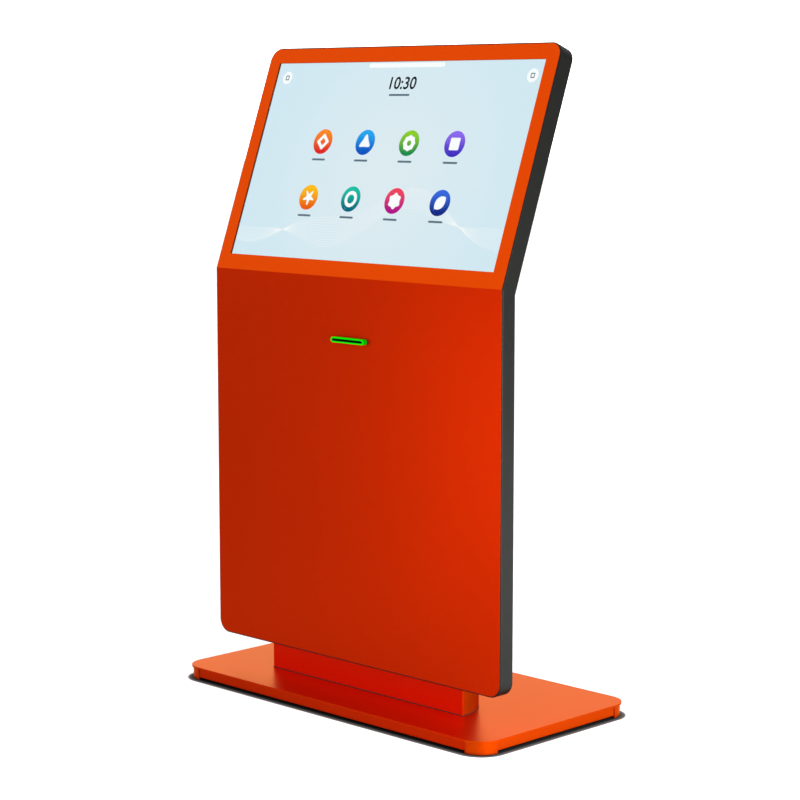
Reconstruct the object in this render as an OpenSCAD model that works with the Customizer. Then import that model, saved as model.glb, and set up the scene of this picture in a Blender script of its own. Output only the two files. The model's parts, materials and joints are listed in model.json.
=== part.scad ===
// Free-standing interactive kiosk: a folded touch-screen slab on a rolled column and a flat base.
// The front faces -Y, X runs along the slab's width, Z is up.
// The origin is on the floor under the middle of the base. Sizes are in millimetres.

/* [Base] */
// Width of the base plate
base_w = 814; // [780:1:860]
// Depth of the base plate, front to back
base_d = 412; // [380:1:450]
// Height of the base plate's top face over the floor
base_h = 27; // [25:1:34]
// Thickness of the base plate
base_t = 4; // [3:0.5:6]
// Corner radius of the base plate
base_r = 45; // [38:1:60]
// How far the plate overhangs the rolled corner feet
foot_inset = 3; // [2:0.5:5]
// Wall of the rolled corner feet
foot_wall = 4; // [3:0.5:6]
// How far the skirts stand back behind the corner feet
skirt_back = 2; // [1:0.5:2.5]
// Thickness of the skirts
skirt_t = 3; // [2:0.5:4]
// Gap between the skirts and the floor
skirt_gap = 5.5; // [4:0.5:12]
// Radius of the rubber pads that carry the base
pad_r = 20; // [14:1:24]

/* [Slab] */
// Distance from the base's front edge to the slab's front face
slab_setback = 75.5; // [60:0.5:95]
// Height of the slab's lower edge over the floor
slab_bottom = 88; // [75:1:105]
// Height of the bend line over the floor
bend_z = 816; // [800:1:850]
// Tilt of the head back from the vertical, in degrees
head_tilt = 20; // [14:1:26]
// Thickness of the upright part of the slab
body_t = 34; // [33:0.5:42]
// Thickness of the tilted head
head_t = 36; // [36:0.5:44]
// Corner radius of the slab
slab_r = 25; // [20:1:32]
// Thickness of the folded front and rear panels
sheet_t = 2; // [1.5:0.1:2.2]
// How far the dark frame stands out around the two panels
frame_lip = 1; // [0.5:0.1:2]
// Wall of the perimeter frame
frame_wall = 3; // [2:0.5:4]
// Width of the frame's flanges behind the panels
flange_w = 12; // [10:0.5:12]

/* [Screen] */
// Width of the visible screen
screen_w = 698; // [640:1:780]
// Height of the visible screen
screen_h = 393; // [350:1:440]
// Distance from the bend line up to the screen's lower edge
screen_low = 30.5; // [28:0.5:40]
// Border of the front panel above the screen
screen_top = 30.5; // [27:0.5:60]
// Border of the front panel at each side of the screen
screen_side = 30; // [27:0.5:50]
// Thickness of the touch glass
glass_t = 3; // [2:0.5:4]
// Overlap of the glass behind the front panel
glass_margin = 9; // [8:0.5:10]

/* [Column] */
// Width of the column
column_w = 515; // [490:1:560]
// Depth of the column, front to back
column_d = 104; // [96:1:125]
// Radius of the column's rolled rear corners
column_r = 100; // [85:1:100]
// Sheet thickness of the column
column_t = 2; // [1.5:0.1:2.5]
// Thickness of the column's front plate
column_front_t = 2.5; // [2:0.1:3.5]
// Distance from the slab's rear bend down to the column's top
column_drop = 14; // [10:1:20]

/* [Door] */
// Flat margin of the column's back plate beside the door
door_margin = 24; // [22:1:32]
// Height of the door's lower edge over the floor
door_low = 135; // [130:1:160]
// Distance from the column's top down to the door
door_drop = 40; // [34:1:60]
// Gap around the door
door_gap = 2; // [1.5:0.1:3]
// Outer radius of the hinge knuckles
knuckle_r = 4; // [3.5:0.1:5]

/* [Printer] */
// Distance from the bend line down to the paper slot
slot_drop = 116.5; // [105:0.5:150]
// Width of the paper
paper_w = 80; // [58:1:80]
// Height of the paper slot
slot_h = 4.6; // [4.4:0.1:6]
// Height of the bezel round the slot
bezel_h = 10.5; // [10:0.5:20]
// How far the bezel stands out of the front panel
bezel_out = 10; // [6:0.5:14]
// Radius of the platen's rubber
platen_r = 7; // [6:0.1:7.5]
// Radius of the paper roll
roll_r = 37.5; // [28:0.5:38]
// Module of the printer's gears
gear_m = 1; // [0.9:0.02:1]

/* [Units inside] */
// Width and height of the small computer
computer_w = 180; // [160:1:200]
// Depth of the small computer
computer_d = 40; // [34:1:44]
// Gap between the paper roll and the computer below it
computer_gap = 50; // [30:1:60]
// Gap between the computer and the power supply below it
supply_gap = 62; // [40:1:80]
// Width of the power supply
supply_w = 170; // [150:1:190]
// Height of the power supply's case
supply_h = 98; // [80:1:105]
// Depth of the power supply
supply_d = 42; // [34:1:46]
// Side of the square fan
fan_w = 80; // [70:1:80]

/* [Hidden] */
$fn = 96;
orange = [0.84, 0.25, 0.03];
charcoal = [0.2, 0.2, 0.2];
steel = [0.7, 0.71, 0.72];
rubber = [0.09, 0.09, 0.09];
green = [0.05, 0.8, 0.1];
board = [0.05, 0.3, 0.15];
black = [0.07, 0.07, 0.08];
white = [0.92, 0.92, 0.9];

// Running and slip clearances
run = 0.05;
slip = 0.3;
over = 1;

// Slab places: the slab is as large as the screen and its borders
slab_y = -base_d / 2 + slab_setback;
slab_w = screen_w + 2 * screen_side;
head_len = screen_low + screen_h + screen_top;
flange_t = 2;
rim = frame_wall + flange_w;
gasket_t = 0.5;
lcd_gap = 0.5;
cell_t = 2;
case_t = 11;
case_margin = 7;
upright_w = 34;
upright_wall = 2;
rail_t = 3;
rail_w = 36;
vent_w = 130;
vent_slot = 5;
vent_pitch = 14;
rear_screw_end = 70;
head_screw_end = 60;
glass_at = sheet_t + gasket_t;
cell_at = glass_at + glass_t + lcd_gap;
case_at = cell_at + cell_t;
case_back = case_at + case_t;
rail_back = case_back + rail_t;
upright_d = head_t - sheet_t - rail_back;

// Display board behind the display's case
board_w = 130;
board_h = 100;
board_t = 1.6;
board_edge = 5;
board_clear = 4;
stand_r = 3;
stand_h = 4;
stand_in = 10;
chip_w = 40;
chip_t = 2.4;
plug_w = 20;
plug_len = 60;
socket_w = 30;
socket_h = 13;
plug_back = head_t - sheet_t - case_back - board_clear;

// Column places
column_y = slab_y + body_t;
inner_y = column_y + column_front_t;
back_y = column_y + column_d;
corner_r = min(column_r, column_d - column_front_t - over);
centre_x = column_w / 2 - corner_r;
centre_y = column_d - corner_r;
column_top = bend_pt(body_t, head_t)[1] - column_drop;
mid_y = (inner_y + back_y - column_t) / 2;
upright_x = column_w / 2 - 60;
foot_plate_t = 5;
bolt_r = 4;
bolt_clear = 0.4;
bolt_head_r = 7.5;
bolt_head_h = 5.5;
bolt_end = 5;
bolt_x = column_w / 2 - 68;
slot_z = bend_z - slot_drop;
window_w = paper_w + 70;
window_low = slot_z - 84;
window_top = slot_z + 46;

// Door places
door_w = 2 * centre_x - 2 * door_margin;
door_top = column_top - door_drop;
door_t = column_t - 0.5;
door_in = back_y - door_t;
stop_t = 2;
stop_lap = 8;
stop_in = back_y - column_t - stop_t;
pan_d = 8;
pan_inset = 13;
hinge_x = -door_w / 2 - door_gap / 2;
hinge_y = back_y + knuckle_r + slip;
hinge_len = 54;
leaf_w = 17;
leaf_t = 2;
pin_r = 2;
hinge_z = [door_low + 70, door_top - 70];
lock_x = door_w / 2 - 32;
lock_z = (door_low + door_top) / 2;
keeper_d = 6;
cam_y = stop_in - keeper_d - 0.5;
cam_t = 2.5;
plug_r = 6;
barrel_r = 9.3;

// Printer places, measured back from the column front's inner face and up from the slot
slot_w = paper_w + 0.5;
bezel_w = slot_w + 7.5;
neck_w = slot_w + 3.5;
neck_h = slot_h + 3;
neck_end = inner_y - 22;
cheek_x = paper_w / 2 + 8;
cheek_t = 2;
platen_at = [9.5, -platen_r - 0.2];
platen_teeth = 22;
idler_teeth = 28;
pinion_teeth = 18;
idler_dir = -30;
pinion_dir = -20;
idler_at = platen_at + gear_m * (platen_teeth + idler_teeth) / 2 * [cos(idler_dir), sin(idler_dir)];
pinion_at = idler_at + gear_m * (idler_teeth + pinion_teeth) / 2 * [cos(pinion_dir), sin(pinion_dir)];
idler_turn = idler_dir + 180;
platen_turn = idler_dir + 180 / platen_teeth;
pinion_turn = pinion_dir + 180 + 180 / pinion_teeth
    - (idler_turn - pinion_dir) * idler_teeth / pinion_teeth;
gear_t = 5;
gear_x = cheek_x + cheek_t + 1;
shaft_r = 3;
stud_r = 2.5;
motor_r = 17;
motor_len = 22;
floor_z = -51;
roll_at = [mid_y - inner_y, floor_z - 4 - roll_r];
spindle_r = 6;
core_r = 12;
blade_t = 2;
blade_travel = 7;
blade_y = -10;
cheek_y0 = -17;
motor_clear = 4.25;
cheek_y1 = pinion_at[0] + motor_r + motor_clear;
cheek_z0 = roll_at[1] - 14;
cheek_z1 = 30;
ear_w = 40;
ear_x = cheek_x + ear_w - 7;

// Unit places
screw_r = 2;
computer_y = inner_y + 2;
computer_z = slot_z + roll_at[1] - roll_r - computer_gap - computer_w;
supply_z = computer_z - supply_gap - supply_h;
button_r = 6;
button_travel = 1.5;
inlet_z = base_h + 48;
inlet_w = 50;
inlet_h = 30;
rocker_y = -3.5;
fan_t = 20;
fan_z = column_top - fan_t;

// A point of the head, at a depth behind its front face and a height along it, as [y, z]
function head_pt(depth, along) = [
    slab_y + along * sin(head_tilt) + depth * cos(head_tilt),
    bend_z + along * cos(head_tilt) - depth * sin(head_tilt)];

// Where a layer of the body at one depth meets the layer of the head at another, as [y, z]
function bend_pt(body_depth, head_depth) =
    head_pt(head_depth, (body_depth - head_depth * cos(head_tilt)) / sin(head_tilt));

// Angle of an involute at a radius over its base circle, in degrees
function involute(r, base) = r <= base ? 0 :
    let (a = sqrt(r * r / base / base - 1)) a * 180 / PI - atan(a);

function polar(r, a) = [r * cos(a), r * sin(a)];

module at_head() translate([0, slab_y, bend_z]) rotate([-head_tilt, 0, 0]) children();
module along_x(w) rotate([90, 0, 90]) linear_extrude(height = w, center = true) children();
module along_y(d) rotate([90, 0, 0]) linear_extrude(height = d, center = true) children();

// A place in the printer, turned so that the drawing plane is the printer's side view
module at_printer(x, p) translate([x, inner_y + p[0], slot_z + p[1]]) rotate([90, 0, 90]) children();

// A box given by its two opposite corners
module box(a, b) translate(a) cube(b - a);

// A box in the printer's places
module printer_box(a, b) translate([0, inner_y, slot_z]) box(a, b);

// What a rounded corner leaves over, with the square corner on the origin
module corner_waste(r) difference() {
    translate([-r, -r]) square(r + over);
    translate([-r, -r]) circle(r);
}

module rounded(w, d, r) union() {
    square([w - 2 * r, d], center = true);
    square([w, d - 2 * r], center = true);
    for (x = [-1, 1], y = [-1, 1]) translate([x * (w / 2 - r), y * (d / 2 - r)]) circle(r);
}

// A flat bar with round ends
module slot_shape(w, h) union() {
    square([w - h, h], center = true);
    for (s = [-1, 1]) translate([s * (w - h) / 2, 0]) circle(h / 2);
}

// Side view of a layer of the slab between two depths
module slab_side(b0, h0, b1, h1, low, high) polygon([
    [slab_y + b0, low], [slab_y + b1, low], bend_pt(b1, h1),
    head_pt(h1, high), head_pt(h0, high), bend_pt(b0, h0)]);

// A folded panel with four rounded corners, drawn in by an inset
module slab_panel(b0, h0, b1, h1, inset, r) difference() {
    along_x(slab_w - 2 * inset)
        slab_side(b0, h0, b1, h1, slab_bottom + inset, head_len - inset);
    for (k = [0, 1]) at_head()
        translate([(1 - 2 * k) * (slab_w / 2 - inset), 0, head_len - inset])
            along_y(4 * head_t) rotate(90 * k) corner_waste(r);
    for (k = [2, 3]) translate([(2 * k - 5) * (slab_w / 2 - inset), slab_y, slab_bottom + inset])
        along_y(4 * body_t) rotate(90 * k) corner_waste(r);
}

// Places of the rear panel's screws: the origin on the rear face, Z out of it
module rear_places() {
    edge = slab_w / 2 - frame_wall - flange_w / 2;
    end = frame_wall + flange_w / 2;
    for (s = [-1, 1], i = [0:3]) {
        rise = slab_bottom + rear_screw_end + i * (bend_z - slab_bottom - 2 * rear_screw_end) / 3;
        translate([s * edge, column_y, rise]) rotate([-90, 0, 0]) children();
    }
    for (s = [-1, 1], i = [0:2])
        at_head() translate([s * edge, head_t, head_screw_end + i * (head_len / 2 - head_screw_end)])
            rotate([-90, 0, 0]) children();
    for (i = [-1:1])
        at_head() translate([i * slab_w / 3, head_t, head_len - end]) rotate([-90, 0, 0]) children();
    for (s = [-1, 1])
        translate([s * (slab_w / 2 - rear_screw_end), column_y, slab_bottom + end])
            rotate([-90, 0, 0]) children();
}

module rear_holes() rear_places()
    translate([0, 0, -8]) cylinder(r = screw_r + slip, h = 10);

// Places of the bolts between column and uprights: the origin on the column front's inner face
module slab_bolt_places() for (s = [-1, 1], i = [0:3])
    translate([s * upright_x, inner_y, slab_bottom + 50 + i * (window_top - slab_bottom - 60) / 3])
        rotate([-90, 0, 0]) children();

module slab_bolt_holes() slab_bolt_places()
    translate([0, 0, -body_t]) cylinder(r = 3 + slip, h = body_t + over);

// Places of the screws that hold the inner units: the origin on the column front's inner face
module unit_screw_places() {
    for (s = [-1, 1], z = [cheek_z0 + 12, 23])
        translate([s * ear_x, inner_y, slot_z + z]) rotate([-90, 0, 0]) children();
    for (s = [-1, 1], z = [20, computer_w - 20])
        translate([s * (computer_w / 2 + 14), inner_y, computer_z + z])
            rotate([-90, 0, 0]) children();
    for (s = [-1, 1], z = [16, supply_h - 16])
        translate([s * (supply_w / 2 + 9), inner_y, supply_z + z]) rotate([-90, 0, 0]) children();
}

module unit_screw_holes() unit_screw_places()
    translate([0, 0, -5]) cylinder(r = screw_r + slip, h = 8);

// Places of the bolts through the column's foot, on top of the base plate
module base_bolt_places() for (x = [-bolt_x, 0, bolt_x], y = [inner_y + 24, back_y - 32])
    translate([x, y, base_h]) children();

// Plan of the column from a front line back, drawn in by an inset
module column_plan(inset, front) intersection() {
    union() {
        translate([-centre_x, 0]) square([2 * centre_x, column_d - inset]);
        for (s = [-1, 1]) translate([s * centre_x, centre_y]) circle(corner_r - inset);
        translate([inset - column_w / 2, 0]) square([column_w - 2 * inset, centre_y]);
    }
    translate([-column_w, front]) square([2 * column_w, column_d]);
}

// Outline of a gear with involute flanks and a tooth on the x axis
module gear_shape(teeth) {
    pitch = gear_m * teeth / 2;
    base = pitch * cos(20);
    tip = pitch + 0.9 * gear_m;
    root = pitch - 1.25 * gear_m;
    play = 0.12 / pitch * 180 / PI;
    start = max(base, root + 0.01);
    half = 90 / teeth - play + involute(pitch, base);
    radii = [for (i = [0:4]) start + (tip - start) * i / 4];
    polygon([for (t = [0:teeth - 1]) each concat(
        [polar(root, 360 * t / teeth - half)],
        [for (i = [0:4]) polar(radii[i], 360 * t / teeth - half + involute(radii[i], base))],
        [for (i = [4:-1:0]) polar(radii[i], 360 * t / teeth + half - involute(radii[i], base))],
        [polar(root, 360 * t / teeth + half)])]);
}

// Base

module base_plate() color(orange) difference() {
    translate([0, 0, base_h - base_t]) linear_extrude(base_t) rounded(base_w, base_d, base_r);
    base_bolt_places() translate([0, 0, -base_t - over])
        cylinder(r = bolt_r + bolt_clear, h = base_t + 2 * over);
}

module base_skirts() color(orange) {
    inset = foot_inset + skirt_back;
    long = base_w - 2 * base_r;
    short = base_d - 2 * base_r;
    high = base_h - base_t;
    for (s = [-1, 1]) {
        translate([-long / 2, s * (base_d / 2 - inset - skirt_t / 2) - skirt_t / 2, skirt_gap])
            cube([long, skirt_t, high - skirt_gap]);
        translate([s * (base_w / 2 - inset - skirt_t / 2) - skirt_t / 2, -short / 2, skirt_gap])
            cube([skirt_t, short, high - skirt_gap]);
    }
}

module corner_feet() color(orange) for (k = [0:3]) {
    sx = k == 0 || k == 3 ? 1 : -1;
    sy = k < 2 ? 1 : -1;
    translate([sx * (base_w / 2 - base_r), sy * (base_d / 2 - base_r), over])
        rotate(90 * k) linear_extrude(base_h - base_t - over) intersection() {
            difference() {
                circle(base_r - foot_inset);
                circle(base_r - foot_inset - foot_wall);
            }
            square(base_r);
        }
}

module foot_pads() color(rubber) for (x = [-1, 1], y = [-1, 1])
    translate([x * (base_w / 2 - base_r), y * (base_d / 2 - base_r), 0]) union() {
        cylinder(r = pad_r, h = 6);
        cylinder(r = pad_r - 4, h = base_h - base_t);
    }

// Column

module column_flange() color(steel) difference() {
    translate([0, column_y, base_h]) linear_extrude(foot_plate_t)
        column_plan(column_t + 0.2, column_front_t);
    base_bolt_places() translate([0, 0, -over])
        cylinder(r = bolt_r + bolt_clear, h = foot_plate_t + 2 * over);
}

module base_bolts() color(steel) base_bolt_places() union() {
    translate([0, 0, foot_plate_t]) cylinder(r = bolt_head_r, h = bolt_head_h, $fn = 6);
    translate([0, 0, -base_t - bolt_end])
        cylinder(r = bolt_r, h = base_t + foot_plate_t + bolt_end + over);
}

module column_front() color(orange) difference() {
    box([-column_w / 2, column_y, base_h], [column_w / 2, inner_y, column_top]);
    box([-window_w / 2, column_y - over, window_low], [window_w / 2, inner_y + over, window_top]);
    slab_bolt_holes();
    unit_screw_holes();
}

module column_side(side) translate([0, column_y, base_h]) mirror([side < 0 ? 1 : 0, 0, 0])
    linear_extrude(column_top - base_h) translate([centre_x, centre_y]) union() {
        intersection() {
            difference() {
                circle(corner_r);
                circle(corner_r - column_t);
            }
            square(corner_r + over);
        }
        translate([corner_r - column_t, column_front_t - centre_y])
            square([column_t, centre_y - column_front_t]);
    }

module column_side_left() color(orange) column_side(-1);
module column_side_right() color(orange) column_side(1);

module column_back() color(orange) difference() {
    box([-centre_x, back_y - column_t, base_h], [centre_x, back_y, column_top]);
    box([-door_w / 2 - door_gap, back_y - column_t - over, door_low - door_gap],
        [door_w / 2 + door_gap, back_y + over, door_top + door_gap]);
    box([-inlet_w / 2 - slip, back_y - column_t - over, inlet_z - inlet_h / 2 - slip],
        [inlet_w / 2 + slip, back_y + over, inlet_z + inlet_h / 2 + slip]);
}

module column_cap() color(orange) difference() {
    translate([0, column_y, column_top]) linear_extrude(column_t) column_plan(0, 0);
    for (i = [-3:3]) translate([0, mid_y + 10 * i, column_top - over])
        linear_extrude(column_t + 2 * over)
            slot_shape(2 * sqrt(pow(fan_w / 2 - 3, 2) - pow(10 * i, 2)), 5);
}

module door_frame() color(charcoal) union() {
    difference() {
        box([-door_w / 2 - door_gap - 8, stop_in, door_low - door_gap - 10],
            [door_w / 2 + door_gap + 8, back_y - column_t, door_top + door_gap + 10]);
        box([-door_w / 2 - door_gap + stop_lap, stop_in - over, door_low - door_gap + stop_lap],
            [door_w / 2 + door_gap - stop_lap, back_y, door_top + door_gap - stop_lap]);
    }
    box([door_w / 2 + door_gap - stop_lap, stop_in - keeper_d, lock_z - 15],
        [door_w / 2 + door_gap + 6, stop_in + over, lock_z + 15]);
}

// Service door

module service_door() color(orange) difference() {
    union() {
        box([-door_w / 2, door_in, door_low], [door_w / 2, back_y, door_top]);
        difference() {
            box([-door_w / 2 + pan_inset, door_in - pan_d, door_low + pan_inset],
                [door_w / 2 - pan_inset, door_in, door_top - pan_inset]);
            box([-door_w / 2 + pan_inset + door_t, door_in - pan_d - over, door_low + pan_inset + door_t],
                [door_w / 2 - pan_inset - door_t, door_in, door_top - pan_inset - door_t]);
        }
    }
    for (i = [0:7]) translate([0, back_y, door_low + 50 + vent_pitch * i])
        along_y(6 * door_t) slot_shape(door_w * 0.55, vent_slot);
    translate([lock_x, back_y, lock_z]) along_y(6 * door_t) circle(barrel_r + 0.1);
}

// One hinge leaf: the plate lies on the side given, the knuckles sit at the z ranges given
module hinge_leaf(side, ranges) for (z = hinge_z) translate([hinge_x, back_y, z - hinge_len / 2])
    difference() {
        union() {
            translate([side < 0 ? -leaf_w : knuckle_r + 0.6, 0, 0])
                cube([leaf_w - knuckle_r - 0.6, leaf_t, hinge_len]);
            for (r = ranges) {
                translate([side < 0 ? -knuckle_r - 1.6 : 0, slip, r[0]])
                    cube([knuckle_r + 1.6, leaf_t - slip, r[1] - r[0]]);
                translate([0, hinge_y - back_y, r[0]]) cylinder(r = knuckle_r, h = r[1] - r[0]);
            }
        }
        translate([0, hinge_y - back_y, -over]) cylinder(r = pin_r + run, h = hinge_len + 2 * over);
    }

module hinge_column_leaves() color(steel)
    hinge_leaf(-1, [[0, hinge_len / 3 - slip], [hinge_len * 2 / 3 + slip, hinge_len]]);

module hinge_door_leaves() color(steel)
    hinge_leaf(1, [[hinge_len / 3 + slip, hinge_len * 2 / 3 - slip]]);

module hinge_pins() color(steel) for (z = hinge_z)
    translate([hinge_x, hinge_y, z - hinge_len / 2 - 2]) union() {
        cylinder(r = pin_r, h = hinge_len + 3);
        cylinder(r = pin_r + 1.2, h = 2 - slip);
    }

// A round piece of the lock between two depths
module lock_round(r, y0, y1) translate([lock_x, (y0 + y1) / 2, lock_z]) along_y(y1 - y0) circle(r);

module lock_body() color(steel) difference() {
    union() {
        lock_round(13, back_y, back_y + 3);
        lock_round(barrel_r, cam_y + 1, back_y + over);
    }
    lock_round(plug_r + run, cam_y - over, back_y + 4);
}

module lock_plug() color(steel) difference() {
    union() {
        lock_round(plug_r, cam_y + 0.5, back_y + 3);
        lock_round(3.5, cam_y - cam_t - 2, cam_y + over);
    }
    translate([lock_x, back_y + 3, lock_z]) cube([1.6, 5, 7], center = true);
}

// The cam hangs free at rest and swings behind the keeper when it is locked
module lock_cam() color(steel) difference() {
    translate([lock_x, cam_y - cam_t / 2, lock_z]) along_y(cam_t) union() {
        circle(8);
        translate([-8, -36]) square([16, 36]);
    }
    lock_round(3.55, cam_y - cam_t - over, cam_y + over);
}

// Slab

module front_panel() color(orange) difference() {
    slab_panel(0, 0, sheet_t, sheet_t, frame_lip, slab_r - frame_lip);
    at_head() box([-screen_w / 2, -over, screen_low], [screen_w / 2, sheet_t + over, screen_low + screen_h]);
    translate([0, slab_y, slot_z]) cube([neck_w + 1, 3 * sheet_t, neck_h + 1], center = true);
}

module rear_panel() color(orange) difference() {
    slab_panel(body_t - sheet_t, head_t - sheet_t, body_t, head_t, frame_lip, slab_r - frame_lip);
    box([-window_w / 2, column_y - 2 * sheet_t, window_low], [window_w / 2, column_y + over, window_top]);
    for (s = [-1, 1], i = [0:7])
        at_head() translate([s * vent_w * 0.7, head_t, head_len / 2 + vent_pitch * (i - 3.5)])
            along_y(3 * sheet_t) slot_shape(vent_w, vent_slot);
    rear_holes();
    slab_bolt_holes();
}

// A side rail of the frame: a folded channel that follows the bend
module frame_side(side) difference() {
    low = slab_bottom + slab_r;
    high = head_len - slab_r;
    translate([side * (slab_w - rim) / 2, 0, 0]) along_x(rim)
        slab_side(sheet_t, sheet_t, body_t - sheet_t, head_t - sheet_t, low, high);
    translate([side * (slab_w / 2 - frame_wall - rim / 2), 0, 0]) along_x(rim)
        slab_side(sheet_t + flange_t, sheet_t + flange_t, body_t - sheet_t - flange_t,
            head_t - sheet_t - flange_t, low - over, high + over);
    rear_holes();
}

module frame_left() color(charcoal) frame_side(-1);
module frame_right() color(charcoal) frame_side(1);

module rail_outline(inset, r, more) difference() {
    translate([inset - slab_w / 2, -slab_r - more])
        square([slab_w - 2 * inset, slab_r - inset + more]);
    for (k = [0, 1]) translate([(1 - 2 * k) * (slab_w / 2 - inset), -inset])
        rotate(90 * k) corner_waste(r);
}

// A channel across the slab with the two rounded corners, its outer edge on the x axis
module end_rail(depth) difference() {
    linear_extrude(depth) rail_outline(0, slab_r, 0);
    translate([0, 0, flange_t]) linear_extrude(depth - 2 * flange_t)
        rail_outline(frame_wall, slab_r - frame_wall, over);
    translate([0, 0, -over]) linear_extrude(depth + 2 * over) rail_outline(rim, 3, over);
}

module frame_top() color(charcoal) difference() {
    at_head() translate([0, head_t - sheet_t, head_len]) rotate([90, 0, 0])
        end_rail(head_t - 2 * sheet_t);
    rear_holes();
}

module frame_bottom() color(charcoal) difference() {
    translate([0, slab_y + body_t - sheet_t, slab_bottom]) rotate([90, 180, 0])
        end_rail(body_t - 2 * sheet_t);
    rear_holes();
}

module uprights() color(steel) difference() {
    for (s = [-1, 1]) translate([s * upright_x, 0, 0]) difference() {
        along_x(upright_w)
            slab_side(body_t - sheet_t - upright_d, head_t - sheet_t - upright_d,
                body_t - sheet_t, head_t - sheet_t, slab_bottom + rim, head_len - rim);
        along_x(upright_w - 2 * upright_wall)
            slab_side(body_t - sheet_t - upright_d - over, head_t - sheet_t - upright_d - over,
                body_t - sheet_t - upright_wall, head_t - sheet_t - upright_wall,
                slab_bottom + rim - over, head_len - rim + over);
    }
    slab_bolt_holes();
}

module slab_bolts() color(steel) slab_bolt_places() union() {
    cylinder(r = 5.5, h = 4, $fn = 6);
    translate([0, 0, -column_front_t - sheet_t - upright_wall - 4])
        cylinder(r = 3, h = column_front_t + sheet_t + upright_wall + 5);
}

module rear_screws() color(charcoal) rear_places() union() {
    cylinder(r = 4, h = 2);
    translate([0, 0, -sheet_t - flange_t - 2]) cylinder(r = screw_r, h = sheet_t + flange_t + 3);
}

// Screen

module glass_gasket() color(rubber) at_head() difference() {
    box([-screen_w / 2 - glass_margin, sheet_t, screen_low - glass_margin],
        [screen_w / 2 + glass_margin, glass_at, screen_low + screen_h + glass_margin]);
    box([-screen_w / 2 - 1, 0, screen_low - 1],
        [screen_w / 2 + 1, glass_at + over, screen_low + screen_h + 1]);
}

module touch_glass() color([0.6, 0.75, 0.85, 0.5]) at_head()
    box([-screen_w / 2 - glass_margin, glass_at, screen_low - glass_margin],
        [screen_w / 2 + glass_margin, glass_at + glass_t, screen_low + screen_h + glass_margin]);

module display_cell() color([0.75, 0.88, 0.95]) at_head()
    box([-screen_w / 2 - 2, cell_at, screen_low - 2],
        [screen_w / 2 + 2, case_at, screen_low + screen_h + 2]);

module display_case() color(steel) at_head() difference() {
    box([-screen_w / 2 - case_margin, glass_at + glass_t, screen_low - case_margin],
        [screen_w / 2 + case_margin, case_back, screen_low + screen_h + case_margin]);
    box([-screen_w / 2 - 2, glass_at, screen_low - 2],
        [screen_w / 2 + 2, case_at, screen_low + screen_h + 2]);
}

module display_rails() color(steel) at_head() for (s = [0.25, 0.75])
    box([-upright_x - upright_w / 2, case_back, screen_low + s * screen_h - rail_w / 2],
        [upright_x + upright_w / 2, rail_back, screen_low + s * screen_h + rail_w / 2]);

module display_board() color(board) at_head() translate([0, case_back, screen_low + screen_h / 2])
    union() {
        face = stand_h + board_t;
        for (x = [-1, 1], z = [-1, 1])
            translate([x * (board_w / 2 - stand_in), stand_h / 2, z * (board_h / 2 - stand_in)])
                along_y(stand_h) circle(stand_r);
        box([-board_w / 2, stand_h, -board_h / 2], [board_w / 2, face, board_h / 2]);
        box([-chip_w / 2, stand_h, -chip_w / 2], [chip_w / 2, face + chip_t, chip_w / 2]);
        translate([board_edge - board_w / 2, stand_h, -plug_len / 2])
            cube([plug_w, plug_back - stand_h, plug_len]);
        translate([board_w / 2 - board_edge - socket_w, stand_h, board_edge - board_h / 2])
            cube([socket_w, plug_back - stand_h, socket_h]);
    }

// Printer

module printer_bezel() color(green) translate([0, slab_y, slot_z]) difference() {
    union() {
        translate([0, -bezel_out / 2, 0]) along_y(bezel_out) slot_shape(bezel_w, bezel_h);
        box([-neck_w / 2, -over, -neck_h / 2], [neck_w / 2, neck_end - slab_y, neck_h / 2]);
    }
    box([-slot_w / 2, -bezel_out - over, -slot_h / 2], [slot_w / 2, neck_end - slab_y + over, slot_h / 2]);
}

module bezel_clamp() color(black) translate([0, slab_y, slot_z]) difference() {
    box([-neck_w / 2 - 10, sheet_t, -neck_h / 2 - 9], [neck_w / 2 + 10, sheet_t + 3, neck_h / 2 + 9]);
    box([-neck_w / 2 - 0.2, 0, -neck_h / 2 - 0.2], [neck_w / 2 + 0.2, sheet_t + 4, neck_h / 2 + 0.2]);
}

module printer_chassis() color(steel) difference() {
    union() {
        for (s = [-1, 1]) {
            a = s < 0 ? -cheek_x - cheek_t : cheek_x;
            printer_box([a, cheek_y0, -36], [a + cheek_t, cheek_y1, cheek_z1]);
            printer_box([a, 2, cheek_z0], [a + cheek_t, cheek_y1, -35]);
            b = s < 0 ? -cheek_x - ear_w : cheek_x;
            printer_box([b, 0, cheek_z0], [b + ear_w, 2, cheek_z0 + 32]);
            printer_box([b, 0, 14], [b + ear_w, 2, cheek_z1]);
        }
        printer_box([-cheek_x - over, 4, floor_z], [cheek_x + over, cheek_y1, floor_z + 2]);
        printer_box([-cheek_x - over, 2, cheek_z1 - 2], [cheek_x + over, cheek_y1, cheek_z1]);
        at_printer(cheek_x, idler_at) cylinder(r = stud_r, h = cheek_t + gear_t + 3);
    }
    at_printer(0, platen_at) linear_extrude(4 * cheek_x, center = true) circle(shaft_r + run);
    at_printer(0, roll_at) linear_extrude(4 * cheek_x, center = true) circle(spindle_r + run);
    at_printer(cheek_x - over, pinion_at) linear_extrude(cheek_t + 2 * over) circle(5);
    unit_screw_holes();
}

module platen_shaft() color(steel) at_printer(-cheek_x - 6, platen_at)
    linear_extrude(2 * cheek_x + 6 + cheek_t + gear_t + 3) circle(shaft_r);

module platen_rubber() color(rubber) at_printer(-paper_w / 2 - 2, platen_at)
    linear_extrude(paper_w + 4) difference() {
        circle(platen_r);
        circle(shaft_r + 0.02);
    }

module printer_gear(p, teeth, turn, bore) at_printer(gear_x, p) rotate(turn)
    linear_extrude(gear_t) difference() {
        gear_shape(teeth);
        circle(bore);
    }

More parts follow.
